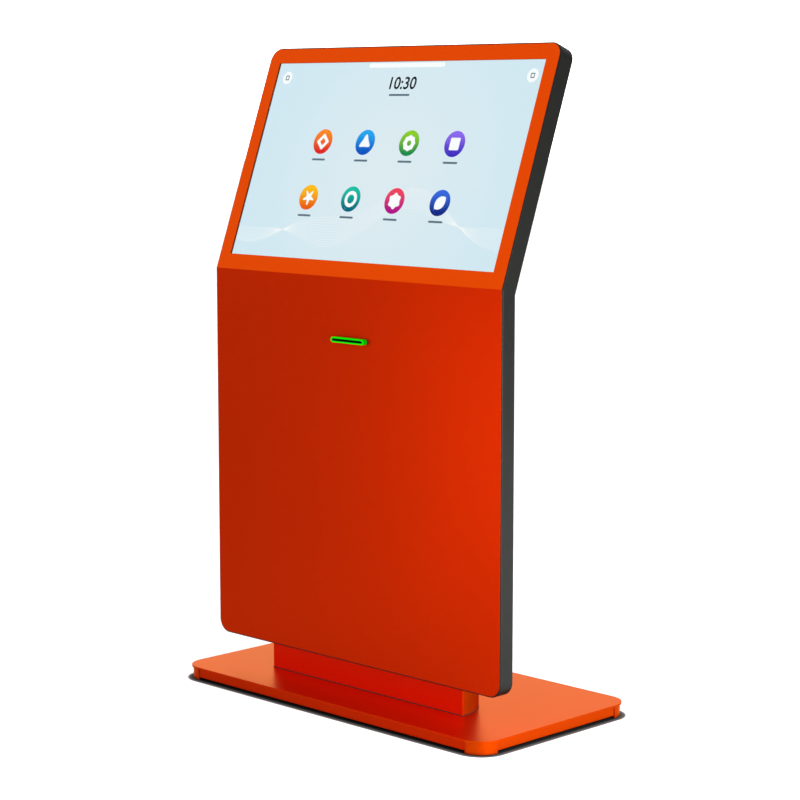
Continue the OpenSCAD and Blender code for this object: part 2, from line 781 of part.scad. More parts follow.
module platen_gear() color(white) printer_gear(platen_at, platen_teeth, platen_turn, shaft_r + 0.02);
module idler_gear() color(white) printer_gear(idler_at, idler_teeth, idler_turn, stud_r + run);

module motor_pinion() color(steel) union() {
    printer_gear(pinion_at, pinion_teeth, pinion_turn, 1);
    at_printer(cheek_x - 3, pinion_at) cylinder(r = shaft_r - 0.5, h = cheek_t + gear_t + 5);
}

module feed_motor() color(charcoal) at_printer(cheek_x, pinion_at) difference() {
    union() {
        translate([0, 0, -motor_len]) cylinder(r = motor_r, h = motor_len);
        cylinder(r = 4.5, h = cheek_t);
    }
    translate([0, 0, -4]) cylinder(r = shaft_r - 0.5 + run, h = 10);
}

module print_head() color(steel) union() {
    printer_box([-paper_w / 2 - 3, 2, 0.3], [paper_w / 2 + 3, 17, 4]);
    printer_box([-cheek_x, 6, 3.5], [cheek_x, 22, 8]);
    for (i = [0:3]) printer_box([-paper_w / 2, 7 + 4 * i, 7], [paper_w / 2, 9 + 4 * i, 18]);
}

module cutter_frame() color(charcoal) difference() {
    union() {
        printer_box([-cheek_x, -15, -30], [cheek_x, -4, -9]);
        printer_box([-cheek_x, -15, 3], [cheek_x, blade_y - slip, 24]);
    }
    printer_box([-cheek_x + 3, blade_y - 0.1, -31], [cheek_x - 3, blade_y + blade_t + 0.1, 0]);
}

module cutter_blade() color(steel) difference() {
    printer_box([-cheek_x + 3.1, blade_y, -29], [cheek_x - 3.1, blade_y + blade_t, -3]);
    printer_box([-paper_w / 4, blade_y - over, -26], [paper_w / 4, blade_y + blade_t + over, -19]);
}

module paper_roll() color(white) at_printer(-paper_w / 2 + 0.25, roll_at)
    linear_extrude(paper_w - 0.5) difference() {
        circle(roll_r);
        circle(core_r);
    }

module roll_spindle() color(black) at_printer(0, roll_at) union() {
    linear_extrude(2 * cheek_x + 2 * cheek_t + 6, center = true) circle(spindle_r);
    linear_extrude(paper_w - 0.5, center = true) circle(core_r - 0.1);
    for (s = [-1, 1]) translate([0, 0, s * (paper_w / 2 + 1.25)])
        linear_extrude(3, center = true) circle(core_r + 5);
}

module printer_board() color(board) difference() {
    union() {
        printer_box([-cheek_x, cheek_y1, -34], [cheek_x + cheek_t, cheek_y1 + 1.6, 26]);
        printer_box([-cheek_x + 4, cheek_y1 + 1.5, -28], [-cheek_x + 30, cheek_y1 + 8, -16]);
        printer_box([18, cheek_y1 + 1.5, 6], [30, cheek_y1 + 5.6, 18]);
        printer_box([-20, cheek_y1 + 1.5, -10], [0, cheek_y1 + 4, 10]);
    }
    translate([24, inner_y + cheek_y1 + 4.6, slot_z + 12]) along_y(5.2) circle(3.5 + 0.15);
}

module feed_button() color(green)
    translate([24, inner_y + cheek_y1 + 5.4, slot_z + 12]) along_y(4) circle(3.5);

// Units in the column

module unit_screws() color(steel) unit_screw_places() union() {
    translate([0, 0, 2]) cylinder(r = 4, h = 2.5);
    translate([0, 0, slip - column_front_t]) cylinder(r = screw_r, h = column_front_t + 3);
}

module fan_frame() color(black) translate([0, mid_y, fan_z]) difference() {
    union() {
        difference() {
            translate([0, 0, 0]) linear_extrude(fan_t) rounded(fan_w, fan_w, 5);
            translate([0, 0, -over]) cylinder(r = fan_w / 2 - 2, h = fan_t + 2 * over);
        }
        cylinder(r = 15, h = 2);
        for (a = [45:90:315]) rotate(a) translate([12, -2, 0]) cube([fan_w / 2 - 11, 4, 2]);
        cylinder(r = 3, h = fan_t - 4.5);
    }
    for (x = [-1, 1], y = [-1, 1])
        translate([x * (fan_w / 2 - 4.5), y * (fan_w / 2 - 4.5), -over])
            cylinder(r = 2.1, h = fan_t + 2 * over);
}

module fan_rotor() color(charcoal) translate([0, mid_y, fan_z + 2.5]) difference() {
    union() {
        cylinder(r = 15, h = fan_t - 4);
        for (a = [0:360 / 7:359]) rotate(a) intersection() {
            translate([fan_w / 4 + 3, 0, (fan_t - 4) / 2]) rotate([40, 0, 0])
                cube([fan_w / 2, 18, 1.6], center = true);
            difference() {
                cylinder(r = fan_w / 2 - 2.8, h = fan_t - 4);
                translate([0, 0, -over]) cylinder(r = 14, h = fan_t);
            }
        }
    }
    translate([0, 0, -over]) cylinder(r = 3 + run, h = fan_t - 5);
}

module computer_case() color(black) difference() {
    translate([0, computer_y + computer_d / 2, computer_z + computer_w / 2])
        along_y(computer_d) rounded(computer_w, computer_w, 12);
    translate([computer_w / 2 - 25, computer_y + computer_d, computer_z + computer_w - 25])
        along_y(8.4) circle(button_r + 0.2);
}

module computer_bracket() color(steel) difference() {
    union() {
        box([-computer_w / 2 - 24, inner_y, computer_z + 6],
            [computer_w / 2 + 24, computer_y, computer_z + computer_w - 6]);
        for (s = [-1, 1]) {
            a = s < 0 ? -computer_w / 2 - 2 : computer_w / 2;
            box([a, inner_y, computer_z + 40], [a + 2, computer_y + computer_d, computer_z + computer_w - 40]);
        }
    }
    unit_screw_holes();
}

module power_button() color(steel)
    translate([computer_w / 2 - 25, computer_y + computer_d - 0.5, computer_z + computer_w - 25])
        along_y(4) circle(button_r);

module power_supply() color(steel) difference() {
    union() {
        box([-supply_w / 2, inner_y, supply_z], [supply_w / 2, inner_y + supply_d, supply_z + supply_h]);
        box([-supply_w / 2 - 18, inner_y, supply_z + 6], [supply_w / 2 + 18, inner_y + 2, supply_z + supply_h - 6]);
    }
    unit_screw_holes();
    for (i = [-4:4]) translate([14 * i, inner_y + supply_d, supply_z + supply_h / 2])
        along_y(6) slot_shape(6, supply_h * 0.5);
}

// Mains inlet

module inlet_housing() color(black) translate([0, back_y, inlet_z]) difference() {
    union() {
        box([-inlet_w / 2, -32, -inlet_h / 2], [inlet_w / 2, over, inlet_h / 2]);
        box([-inlet_w / 2 - 4, 0, -inlet_h / 2 - 4], [inlet_w / 2 + 4, 3, inlet_h / 2 + 4]);
    }
    box([-22, -16, -9], [4, 4, 9]);
    box([8, -12, -11], [22, 4, 11]);
    translate([15, rocker_y, 0]) along_x(17) circle(1.5 + run);
}

module inlet_pins() color(steel) translate([-9, back_y, inlet_z])
    for (p = [[-7, -2], [0, 3], [7, -2]])
        box([p[0] - 1, -16, p[1] - 2], [p[0] + 1, -4, p[1] + 2]);

module rocker_switch() color(black) translate([15, back_y + rocker_y, inlet_z])
    rotate([8, 0, 0]) union() {
        along_x(13.2) intersection() {
            circle(10);
            polygon([[-5, -3], [0, -9.4], [6.5, -9.4], [4.5, 0], [6.5, 9.4], [0, 9.4], [-5, 3]]);
        }
        along_x(16.4) circle(1.5);
    }

base_plate();
base_skirts();
corner_feet();
foot_pads();
column_flange();
base_bolts();
column_front();
column_side_left();
column_side_right();
column_back();
column_cap();
door_frame();
service_door();
hinge_column_leaves();
hinge_door_leaves();
hinge_pins();
lock_body();
lock_plug();
lock_cam();
front_panel();
rear_panel();
frame_left();
frame_right();
frame_top();
frame_bottom();
uprights();
slab_bolts();
rear_screws();
glass_gasket();
touch_glass();
display_cell();
display_case();
display_rails();
display_board();
printer_bezel();
bezel_clamp();
printer_chassis();
platen_shaft();
platen_rubber();
platen_gear();
idler_gear();
feed_motor();
motor_pinion();
print_head();
cutter_frame();
cutter_blade();
paper_roll();
roll_spindle();
printer_board();
feed_button();
unit_screws();
fan_frame();
fan_rotor();
computer_case();
computer_bracket();
power_button();
power_supply();
inlet_housing();
inlet_pins();
rocker_switch();
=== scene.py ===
# %% [markdown]
# # A floor-standing interactive kiosk
# A folded slab of painted sheet steel carries a tilted touch screen. A dark frame closes its
# edge, a D-shaped column stands behind it, and a flat plate on four rolled feet carries it all.
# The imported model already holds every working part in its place. This lesson dresses it: sheets
# with soft edges, paint, glass, light and a picture on the screen.

# %% Load the frame
import json
import math

import bmesh
import bpy
import numpy as np
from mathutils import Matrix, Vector

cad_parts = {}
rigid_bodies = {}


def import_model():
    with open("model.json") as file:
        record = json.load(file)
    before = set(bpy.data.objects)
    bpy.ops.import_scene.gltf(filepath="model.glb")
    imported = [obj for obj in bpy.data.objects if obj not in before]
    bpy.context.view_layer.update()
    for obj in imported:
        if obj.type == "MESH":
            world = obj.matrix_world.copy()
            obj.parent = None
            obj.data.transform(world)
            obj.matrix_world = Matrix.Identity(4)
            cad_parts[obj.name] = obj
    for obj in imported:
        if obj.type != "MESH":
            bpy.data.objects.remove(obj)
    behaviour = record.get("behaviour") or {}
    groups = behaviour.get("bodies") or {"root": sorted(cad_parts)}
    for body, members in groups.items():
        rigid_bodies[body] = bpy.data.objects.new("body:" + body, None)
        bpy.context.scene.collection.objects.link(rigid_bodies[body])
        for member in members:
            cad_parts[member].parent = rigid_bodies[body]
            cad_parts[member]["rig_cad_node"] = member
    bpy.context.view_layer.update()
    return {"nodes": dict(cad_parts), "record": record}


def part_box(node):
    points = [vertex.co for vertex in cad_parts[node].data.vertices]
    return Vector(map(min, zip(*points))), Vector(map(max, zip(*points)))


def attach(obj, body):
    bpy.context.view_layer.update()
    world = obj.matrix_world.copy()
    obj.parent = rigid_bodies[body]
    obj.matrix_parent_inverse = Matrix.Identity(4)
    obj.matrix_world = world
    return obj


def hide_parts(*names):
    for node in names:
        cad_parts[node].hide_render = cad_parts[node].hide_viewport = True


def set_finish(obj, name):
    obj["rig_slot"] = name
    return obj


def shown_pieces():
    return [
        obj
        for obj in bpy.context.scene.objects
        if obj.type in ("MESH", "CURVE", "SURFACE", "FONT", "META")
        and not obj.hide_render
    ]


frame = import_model()
nodes = frame["nodes"]
MM = 0.001

# %% [markdown]
# ## The sizes that the sheets share
# The slab is described in its own two directions: x across, and v along the sheet, counted from
# the bend line. Below the bend v is negative and the sheet is upright. Above it the sheet leans
# back. Every piece of the slab uses the same few numbers, so the pieces meet without fitting.
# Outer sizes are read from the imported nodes. What a box can't tell, such as the tilt or the
# radius of a corner, is written down.


# %% Sizes read from the frame, in millimetres
def box_mm(node):
    """A node's lowest and highest corners in millimetres, to a thousandth."""
    return np.round(np.array(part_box(node)) / MM, 3)


panel_low = box_mm("front_panel")[0]
ring_low, ring_high = box_mm("frame_bottom")
plate_low, plate_high = box_mm("base_plate")
stand_low, stand_high = box_mm("column_cap")
skin_low, skin_high = box_mm("column_front")
back_low, back_high = box_mm("column_back")
SLAB_W, SLAB_BOTTOM = ring_high[0] - ring_low[0], ring_low[2]
LIP, SHEET_T = panel_low[2] - SLAB_BOTTOM, ring_low[1] - panel_low[1]
BODY_T = skin_low[1] - panel_low[1]
BASE_W, BASE_D, BASE_T = plate_high - plate_low
BASE_H = plate_high[2]
COLUMN_W, COLUMN_D = (stand_high - stand_low)[:2]
COLUMN_FRONT_T, COLUMN_T = skin_high[1] - skin_low[1], back_high[1] - back_low[1]
COLUMN_R = stand_high[0] - back_high[0]
SLAB_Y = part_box("front_panel")[0][1] / MM     # places keep every digit of the frame
COLUMN_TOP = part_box("column_back")[1][2] / MM
COLUMN_Y = SLAB_Y + BODY_T
print("slab", SLAB_W, "mm wide, base", BASE_W, "by", BASE_D, "mm, column", COLUMN_W, "mm wide")

# %% Sizes that no box tells, in millimetres
BEND_Z, HEAD_LEN, HEAD_T, SLAB_R = 816.0, 454.0, 36.0, 25.0
TILT = math.radians(20.0)
SCREEN_W, SCREEN_H, SCREEN_LOW = 698.0, 393.0, 30.5
PICTURE_DEPTH = 6.0
SLOT_Z, SLOT_W, SLOT_H = 699.5, 80.5, 4.6
BEZEL_W, BEZEL_H, NECK_W, NECK_H = 88.0, 10.5, 84.0, 7.6
BASE_R = 45.0
print("head leans", round(math.degrees(TILT)), "degrees and is", HEAD_LEN, "mm long")

# %% [markdown]
# ## The camera
# The photograph was taken from the front right, a little above the slab's middle, with a long
# lens. Its place and focal length come from fitting the straight edges of the sheets, so the
# camera is set by numbers and not by eye.

# %% Camera
AZIMUTH, ELEVATION = math.radians(44.86), math.radians(7.566)
CAMERA_PLACE = (2.9966, -3.0112, 1.1403)
LENS_MM, SENSOR_MM = 101.32, 36.0
camera_data = bpy.data.cameras.new("camera")
camera_data.lens = LENS_MM
camera_data.sensor_width = SENSOR_MM
camera = bpy.data.objects.new("camera", camera_data)
camera.location = CAMERA_PLACE
sight = Vector((-math.sin(AZIMUTH) * math.cos(ELEVATION),
                math.cos(AZIMUTH) * math.cos(ELEVATION),
                -math.sin(ELEVATION)))
camera.rotation_euler = sight.to_track_quat("-Z", "Y").to_euler()
bpy.context.scene.collection.objects.link(camera)
bpy.context.scene.camera = camera
bpy.context.scene.view_settings.view_transform = "Standard"
print("camera looks along", tuple(round(c, 3) for c in sight))

# %% [markdown]
# ## Helpers for meshes
# A sheet is a grid: rows by columns of points. One function turns any such array into a mesh,
# leaves out the faces of windows, and hands the piece to the body that it moves with. Solidify
# then gives the sheet its gauge and Bevel breaks its edges, as the paint shop does.


# %% Grid to piece
def grid_piece(name, points, body, replaced=(), slot=None, keep=None, ring=False, closed=False):
    """A mesh from an array of rows by columns by 3, in millimetres. Each face joins four
    neighbours. ring joins the last column to the first, closed the last row to the first, and
    keep is an array of faces to hold."""
    rows, columns = points.shape[:2]
    index = np.arange(rows * columns).reshape(rows, columns)
    if ring:
        index = np.concatenate([index, index[:, :1]], axis=1)
    if closed:
        index = np.concatenate([index, index[:1]], axis=0)
    faces = np.stack([index[:-1, :-1], index[:-1, 1:], index[1:, 1:], index[1:, :-1]], axis=-1)
    faces = faces[keep] if keep is not None else faces.reshape(-1, 4)
    used, renumbered = np.unique(faces, return_inverse=True)
    mesh = bpy.data.meshes.new(name)
    mesh.from_pydata((points.reshape(-1, 3)[used] * MM).tolist(), [],
                     renumbered.reshape(-1, 4).tolist())
    mesh.update()
    piece = bpy.data.objects.new(name, mesh)
    bpy.context.scene.collection.objects.link(piece)
    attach(piece, body)
    if replaced:
        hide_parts(*replaced)
    if slot:
        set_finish(piece, slot)
    return piece


# %% Sheet metal
EDGE_ANGLE = 50.0      # degrees; faces that turn by more than this meet in an edge
SHEET_SEGMENTS = 3     # steps round the edge of a new sheet


def thicken(piece, thickness, name="gauge"):
    """Gives a sheet its thickness in millimetres, away from its normals."""
    solid = piece.modifiers.new(name, "SOLIDIFY")
    solid.thickness = thickness * MM
    solid.offset = -1.0


def break_edges(piece, width, segments):
    """Rounds the edges of a piece over a width in millimetres."""
    bevel = piece.modifiers.new("broken edge", "BEVEL")
    bevel.width = width * MM
    bevel.segments = segments
    bevel.limit_method = "ANGLE"
    bevel.angle_limit = math.radians(EDGE_ANGLE)
    return bevel


def smooth(piece):
    """Shades the faces of a piece as one smooth surface."""
    piece.data.polygons.foreach_set("use_smooth", np.ones(len(piece.data.polygons), dtype=bool))


def gauge(piece, thickness, edge):
    """Makes a grid a painted sheet: its thickness, its rounded edges and smooth shading."""
    thicken(piece, thickness)
    break_edges(piece, edge, SHEET_SEGMENTS).harden_normals = True
    smooth(piece)


print("edges over", EDGE_ANGLE, "degrees are rounded in", SHEET_SEGMENTS, "steps")

# %% [markdown]
# ## The fold
# A press brake folds the front sheet once. On the real sheet the outside of the fold keeps a
# small radius. The formula walks along the sheet: straight up, round an arc of that radius, and
# on along the tilted head.

# %% Fold formula
FOLD_R = 3.0
FOLD_RUN = FOLD_R * math.tan(TILT / 2)


def fold(x, v):
    """Points of the front face: (x, v) on the flat sheet goes to the upright body below the
    fold, to an arc of radius FOLD_R across it, and to the leaning head above it."""
    turn = np.clip((v + FOLD_RUN) / (2 * FOLD_RUN), 0, 1) * TILT
    below = np.minimum(v, -FOLD_RUN)
    above = np.maximum(v, FOLD_RUN)
    y = np.where(v > FOLD_RUN, above * math.sin(TILT), FOLD_R * (1 - np.cos(turn)))
    z = np.where(v > FOLD_RUN, above * math.cos(TILT), below + FOLD_R * np.sin(turn))
    return np.stack([x + 0 * v, SLAB_Y + y, BEND_Z + z], axis=-1)


print("the fold takes up", round(2 * FOLD_RUN, 2), "mm of sheet")

# %% [markdown]
# ## The front panel
# One sheet with four round corners, a window for the screen and a small opening for the receipt
# slot. The rows of the grid follow the corners, the fold and the openings, so that each opening
# is only a block of faces left out.

# %% Rows of the front panel
CORNER_STEPS, FOLD_STEPS = 14, 7
SLOT_PLAY = 1.0                              # the slot's opening is larger than the neck by this
ROWS_BELOW_SLOT = [-600, -450, -300, -200]   # v of the plain rows on the body
ROW_ABOVE_SLOT = [-60]


def quarter_turn(steps):
    """The angles of a quarter circle, evenly from 0 to 90 degrees, in radians."""
    return np.linspace(0, math.pi / 2, steps)


def corner_rows(end, radius, inward, steps):
    """Row heights across a rounded corner, and how far each row falls short of the full half
    width: a quarter circle read by its angle."""
    angle = quarter_turn(steps)
    return end + inward * radius * (1 - np.cos(angle)), radius * (1 - np.sin(angle))


panel_r = SLAB_R - LIP
low_rows, low_short = corner_rows(SLAB_BOTTOM + LIP - BEND_Z, panel_r, 1, CORNER_STEPS)
high_rows, high_short = corner_rows(HEAD_LEN - LIP, panel_r, -1, CORNER_STEPS)
slot_rows = SLOT_Z - BEND_Z + np.array([-0.5, 0.5]) * (NECK_H + SLOT_PLAY)
fold_rows = np.linspace(-FOLD_RUN, FOLD_RUN, FOLD_STEPS)
screen_rows = np.array([SCREEN_LOW, SCREEN_LOW + SCREEN_H])
rows = np.concatenate([low_rows, ROWS_BELOW_SLOT, slot_rows, ROW_ABOVE_SLOT, fold_rows,
                       screen_rows, high_rows[::-1]])
short = np.concatenate([low_short, np.zeros(len(rows) - 2 * CORNER_STEPS), high_short[::-1]])
print("front panel:", len(rows), "rows")

# %% Front panel
PLAIN_COLUMNS = [150, 250]                   # x of the columns between the slot and the window
window_half, slot_half = SCREEN_W / 2, (NECK_W + SLOT_PLAY) / 2
right_half = np.array([slot_half, *PLAIN_COLUMNS, window_half])
inner = np.concatenate([-right_half[::-1], right_half])
panel_edge = (SLAB_W / 2 - LIP - short)[:, None]
margin = np.array([1.0, 0.5])[None, :]       # at the sheet's edge and half-way to the window
left = -window_half - (panel_edge - window_half) * margin
right = window_half + (panel_edge - window_half) * margin[:, ::-1]
across = np.concatenate([left, np.repeat(inner[None, :], len(rows), axis=0), right], axis=1)
sheet = fold(across, np.repeat(rows[:, None], across.shape[1], axis=1))
row_mid = (rows[1:] + rows[:-1])[:, None] / 2
full_width = across[CORNER_STEPS]            # the first row above the lower corners
column_mid = (full_width[1:] + full_width[:-1])[None, :] / 2
in_window = ((row_mid > SCREEN_LOW) & (row_mid < SCREEN_LOW + SCREEN_H)
             & (abs(column_mid) < window_half))
in_slot = (row_mid > slot_rows[0]) & (row_mid < slot_rows[1]) & (abs(column_mid) < slot_half)
front_panel = grid_piece("front_sheet", sheet, "kiosk", ["front_panel"], "orange_paint",
                         keep=~(in_window | in_slot))
gauge(front_panel, SHEET_T, edge=0.6)
print("front sheet:", len(front_panel.data.polygons), "faces before its edges are rounded")

# %% [markdown]
# ## The dark frame
# A channel closes the slab's edge all round. It is a profile carried along a path: the path is
# the slab's outline, the profile runs from behind the front sheet to the rear sheet with small
# rounded edges. The slab is a little thicker at the head, so the depth is worked out for the
# upright part and the head apart.

# %% Layers of the slab
AT_BEND = 1e6


def layer(x, part, share, depth_body, depth_head):
    """Points on a layer of the slab at two depths. part 0 is the upright body, 1 the head.
    share is the height over the lower edge for the body and the distance below the top edge
    for the head, but AT_BEND is the bend, where both layers meet."""
    along = (depth_body - depth_head * math.cos(TILT)) / math.sin(TILT)
    bend_y = along * math.sin(TILT) + depth_head * math.cos(TILT)
    bend_z = along * math.cos(TILT) - depth_head * math.sin(TILT)
    up = HEAD_LEN - share
    y = np.where(part == 0, depth_body, up * math.sin(TILT) + depth_head * math.cos(TILT))
    z = np.where(part == 0, SLAB_BOTTOM + share - BEND_Z,
                 up * math.cos(TILT) - depth_head * math.sin(TILT))
    y = np.where(share == AT_BEND, bend_y, y)
    z = np.where(share == AT_BEND, bend_z, z)
    return np.stack([x + 0 * y, SLAB_Y + y, BEND_Z + z], axis=-1)


print("the slab is", BODY_T, "mm thick below the bend and", HEAD_T, "mm above it")

# %% Path of the frame band
BODY_STATION, HEAD_STATION = 300.0, 200.0    # one station on each straight, from its far end
corner_turn = quarter_turn(CORNER_STEPS)
arc_x = SLAB_W / 2 - SLAB_R + SLAB_R * np.sin(corner_turn)
arc_in = SLAB_R - SLAB_R * np.cos(corner_turn)
path_x = np.concatenate([arc_x, [SLAB_W / 2] * 3, arc_x[::-1]])
path_share = np.concatenate([arc_in, [BODY_STATION, AT_BEND, HEAD_STATION], arc_in[::-1]])
path_part = np.concatenate([np.zeros(CORNER_STEPS + 2), np.ones(CORNER_STEPS + 1)]).astype(int)
path_ix = -np.concatenate([np.sin(corner_turn), [1, 1, 1], np.sin(corner_turn)[::-1]])
path_iv = np.concatenate([np.cos(corner_turn), [0, 0, 0], np.cos(corner_turn)[::-1]])
path_x = np.concatenate([path_x, -path_x[::-1]])
path_ix = np.concatenate([path_ix, -path_ix[::-1]])
path_share, path_part, path_iv = (np.concatenate([a, a[::-1]])
                                  for a in (path_share, path_part, path_iv))
print("frame band:", len(path_x), "stations round the slab")

# %% Frame band
FRAME_FLANGE, FRAME_EDGE_R, FRAME_T = 14.0, 0.5, 1.5
edge_turn = quarter_turn(steps=5)
near = np.concatenate([[0.0], FRAME_EDGE_R * (1 - np.cos(edge_turn))])
inset = np.concatenate([[FRAME_FLANGE], FRAME_EDGE_R * (1 - np.sin(edge_turn))])
depth_body = np.concatenate([SHEET_T + near, BODY_T - SHEET_T - near[::-1]])[:, None]
depth_head = np.concatenate([SHEET_T + near, HEAD_T - SHEET_T - near[::-1]])[:, None]
inset = np.concatenate([inset, inset[::-1]])[:, None]
band = layer(path_x[None] + inset * path_ix[None], path_part[None],
             path_share[None] + inset * path_iv[None], depth_body, depth_head)
frame_band = grid_piece("frame_band", band, "kiosk",
                        ["frame_left", "frame_right", "frame_top", "frame_bottom"],
                        "charcoal_paint", ring=True)
thicken(frame_band, FRAME_T)
print("frame band:", band.shape[0], "points in its profile")

# %% [markdown]
# ## The base
# The plate is a rounded rectangle, made as the front sheet was, from rows that follow its round
# corners. The four feet are strips of thick sheet rolled to a quarter circle. They stand a
# little proud of the skirts between them and end a millimetre above the floor, so that the
# weight is on the rubber pads behind them.

# %% Base plate
PLATE_STEPS, PLATE_COLUMNS = 18, 5
front_rows, front_short = corner_rows(-BASE_D / 2, BASE_R, 1, PLATE_STEPS)
plate_rows = np.concatenate([front_rows, -front_rows[::-1]])
plate_half = BASE_W / 2 - np.concatenate([front_short, front_short[::-1]])
plate_x = plate_half[:, None] * np.linspace(-1, 1, PLATE_COLUMNS)[None, :]
plate = np.stack([plate_x, np.repeat(plate_rows[:, None], PLATE_COLUMNS, axis=1),
                  np.full_like(plate_x, BASE_H)], axis=-1)
base_plate = grid_piece("base_sheet", plate, "kiosk", ["base_plate"], "orange_paint")
gauge(base_plate, BASE_T, edge=0.9)
print("base plate:", len(plate_rows), "rows")

# %% Rolled feet
FOOT_INSET, FOOT_T, FOOT_LOW, FOOT_MID, FOOT_PLAY = 3.0, 4.0, 1.0, 12.0, 0.1
foot_r = BASE_R - FOOT_INSET
foot_turn = quarter_turn(steps=25)[None, :]
foot_z = np.array([FOOT_LOW, FOOT_MID, BASE_H - BASE_T - FOOT_PLAY])[:, None]
for name, sx, sy in (("back_right", 1, 1), ("back_left", -1, 1),
                     ("front_left", -1, -1), ("front_right", 1, -1)):
    quarter = foot_turn if sx * sy > 0 else foot_turn[:, ::-1]
    foot = np.stack(np.broadcast_arrays(
        sx * (BASE_W / 2 - BASE_R + foot_r * np.cos(quarter)),
        sy * (BASE_D / 2 - BASE_R + foot_r * np.sin(quarter)), foot_z), axis=-1)
    piece = grid_piece("rolled_foot_" + name, foot, "kiosk", ["corner_feet"], "orange_paint")
    gauge(piece, FOOT_T, edge=0.8)
print("four feet, radius", foot_r, "mm")

# %% [markdown]
# ## The column
# Its two sides are sheet rolled to a quarter circle. A smooth arc shows best where the light
# runs round it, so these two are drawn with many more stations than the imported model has.

# %% Rolled column sides
SIDE_MID_Z = 300.0
side_turn = quarter_turn(steps=49)
side_x = COLUMN_W / 2 - COLUMN_R + COLUMN_R * np.concatenate([[1.0], np.cos(side_turn)])
side_y = COLUMN_D - COLUMN_R + COLUMN_R * np.concatenate([[0.0], np.sin(side_turn)])
side_y[0] = COLUMN_FRONT_T
side_z = np.array([BASE_H, SIDE_MID_Z, COLUMN_TOP])[:, None]
for name, sx in (("right", 1), ("left", -1)):
    run = slice(None) if sx > 0 else slice(None, None, -1)
    wall = np.stack(np.broadcast_arrays(sx * side_x[run], COLUMN_Y + side_y[run], side_z),
                    axis=-1)
    piece = grid_piece("rolled_side_" + name, wall, "kiosk", ["column_side_" + name],
                       "orange_paint")
    gauge(piece, COLUMN_T, edge=0.3)
print("column sides roll through", COLUMN_R, "mm")

# %% [markdown]
# ## The dark line round the column's foot
# Where the column stands on the base plate, the joint lies in shade. A thin dark bead is put
# there for that shade, and it shows as one fine line. The bead is a small rounded profile carried
# once round the column's outline, just outside the sheets.

# %% Dark bead for the shade at the column's foot
BEAD_OUT = np.array([0.03, 0.5, 0.5, 0.3, 0.03])[:, None]
BEAD_UP = np.array([0.02, 0.02, 0.7, 1.1, 1.2])[:, None]
bead_turn = quarter_turn(steps=25)
bead_arc_x = COLUMN_W / 2 - COLUMN_R + COLUMN_R * np.cos(bead_turn)
bead_arc_y = COLUMN_D - COLUMN_R + COLUMN_R * np.sin(bead_turn)
plan_x = np.concatenate([[-COLUMN_W / 2, 0.0, COLUMN_W / 2], bead_arc_x, -bead_arc_x[::-1]])
plan_y = np.concatenate([[0.0, 0.0, 0.0], bead_arc_y, bead_arc_y[::-1]])
way_x = np.concatenate([[-1.0, 0.0, 1.0], np.cos(bead_turn), -np.cos(bead_turn[::-1])])
way_y = np.concatenate([[-1.0, -1.0, -1.0], np.sin(bead_turn), np.sin(bead_turn[::-1])])
bead = np.stack(np.broadcast_arrays(plan_x + BEAD_OUT * way_x,
                                    COLUMN_Y + plan_y + BEAD_OUT * way_y,
                                    BASE_H + BEAD_UP), axis=-1)
# A dark piece put where the column meets the base plate, standing for the shade in that joint.
grid_piece("foot_seal", bead, "kiosk", slot="black_rubber", ring=True, closed=True)
print("seal bead:", bead.shape[1], "stations")

# %% [markdown]
# ## The receipt bezel
# A clear green moulding stands out of the front sheet and lights up. It is a stack of outlines,
# each a bar with round ends: out of the sheet, round the front edge, in to the slot, back
# through the slot and home over the neck. Its lip glows, its outer wall glows less, and deeper
# in the walls of the slot are black.

# %% Bezel
BEZEL_PROUD, BEZEL_LIP_R, SLOT_CHAMFER = 10.0, 1.5, 0.6
LIT_END, NECK_DEPTH = -3.0, 14.5             # where the lit part of the slot and the neck end
BEZEL_EDGE_ANGLE = 35.0                      # degrees


def bar_outline(width, height, steps=20):
    """A bar with round ends, read once round: half circles at both ends, joined by straights."""
    turn = np.linspace(-math.pi / 2, math.pi / 2, steps)
    radius = height / 2
    end = width / 2 - radius
    x = np.concatenate([end + radius * np.cos(turn), -end - radius * np.cos(turn)])
    z = np.concatenate([radius * np.sin(turn), -radius * np.sin(turn)])
    return x, z


rings = [(0.0, NECK_W, NECK_H), (0.0, BEZEL_W, BEZEL_H)]
for angle in quarter_turn(steps=6):
    narrower = 2 * BEZEL_LIP_R * (1 - math.cos(angle))
    rings.append((BEZEL_LIP_R - BEZEL_PROUD - BEZEL_LIP_R * math.sin(angle),
                  BEZEL_W - narrower, BEZEL_H - narrower))
rings += [(-BEZEL_PROUD, SLOT_W + 2 * SLOT_CHAMFER, SLOT_H + 2 * SLOT_CHAMFER),
          (SLOT_CHAMFER - BEZEL_PROUD, SLOT_W, SLOT_H), (LIT_END, SLOT_W, SLOT_H),
          (NECK_DEPTH, SLOT_W, SLOT_H), (NECK_DEPTH, NECK_W, NECK_H)]
loft = np.stack([np.stack([x, np.full_like(x, SLAB_Y + y), SLOT_Z + z], axis=-1)
                 for y, (x, z) in ((r[0], bar_outline(r[1], r[2])) for r in rings)])
bezel = grid_piece("receipt_bezel", loft, "kiosk", ["printer_bezel"], "green_plastic",
                   ring=True, closed=True)
smooth(bezel)
bezel.data.set_sharp_from_angle(angle=math.radians(BEZEL_EDGE_ANGLE))
print("bezel:", len(rings), "outlines of", loft.shape[1], "points")

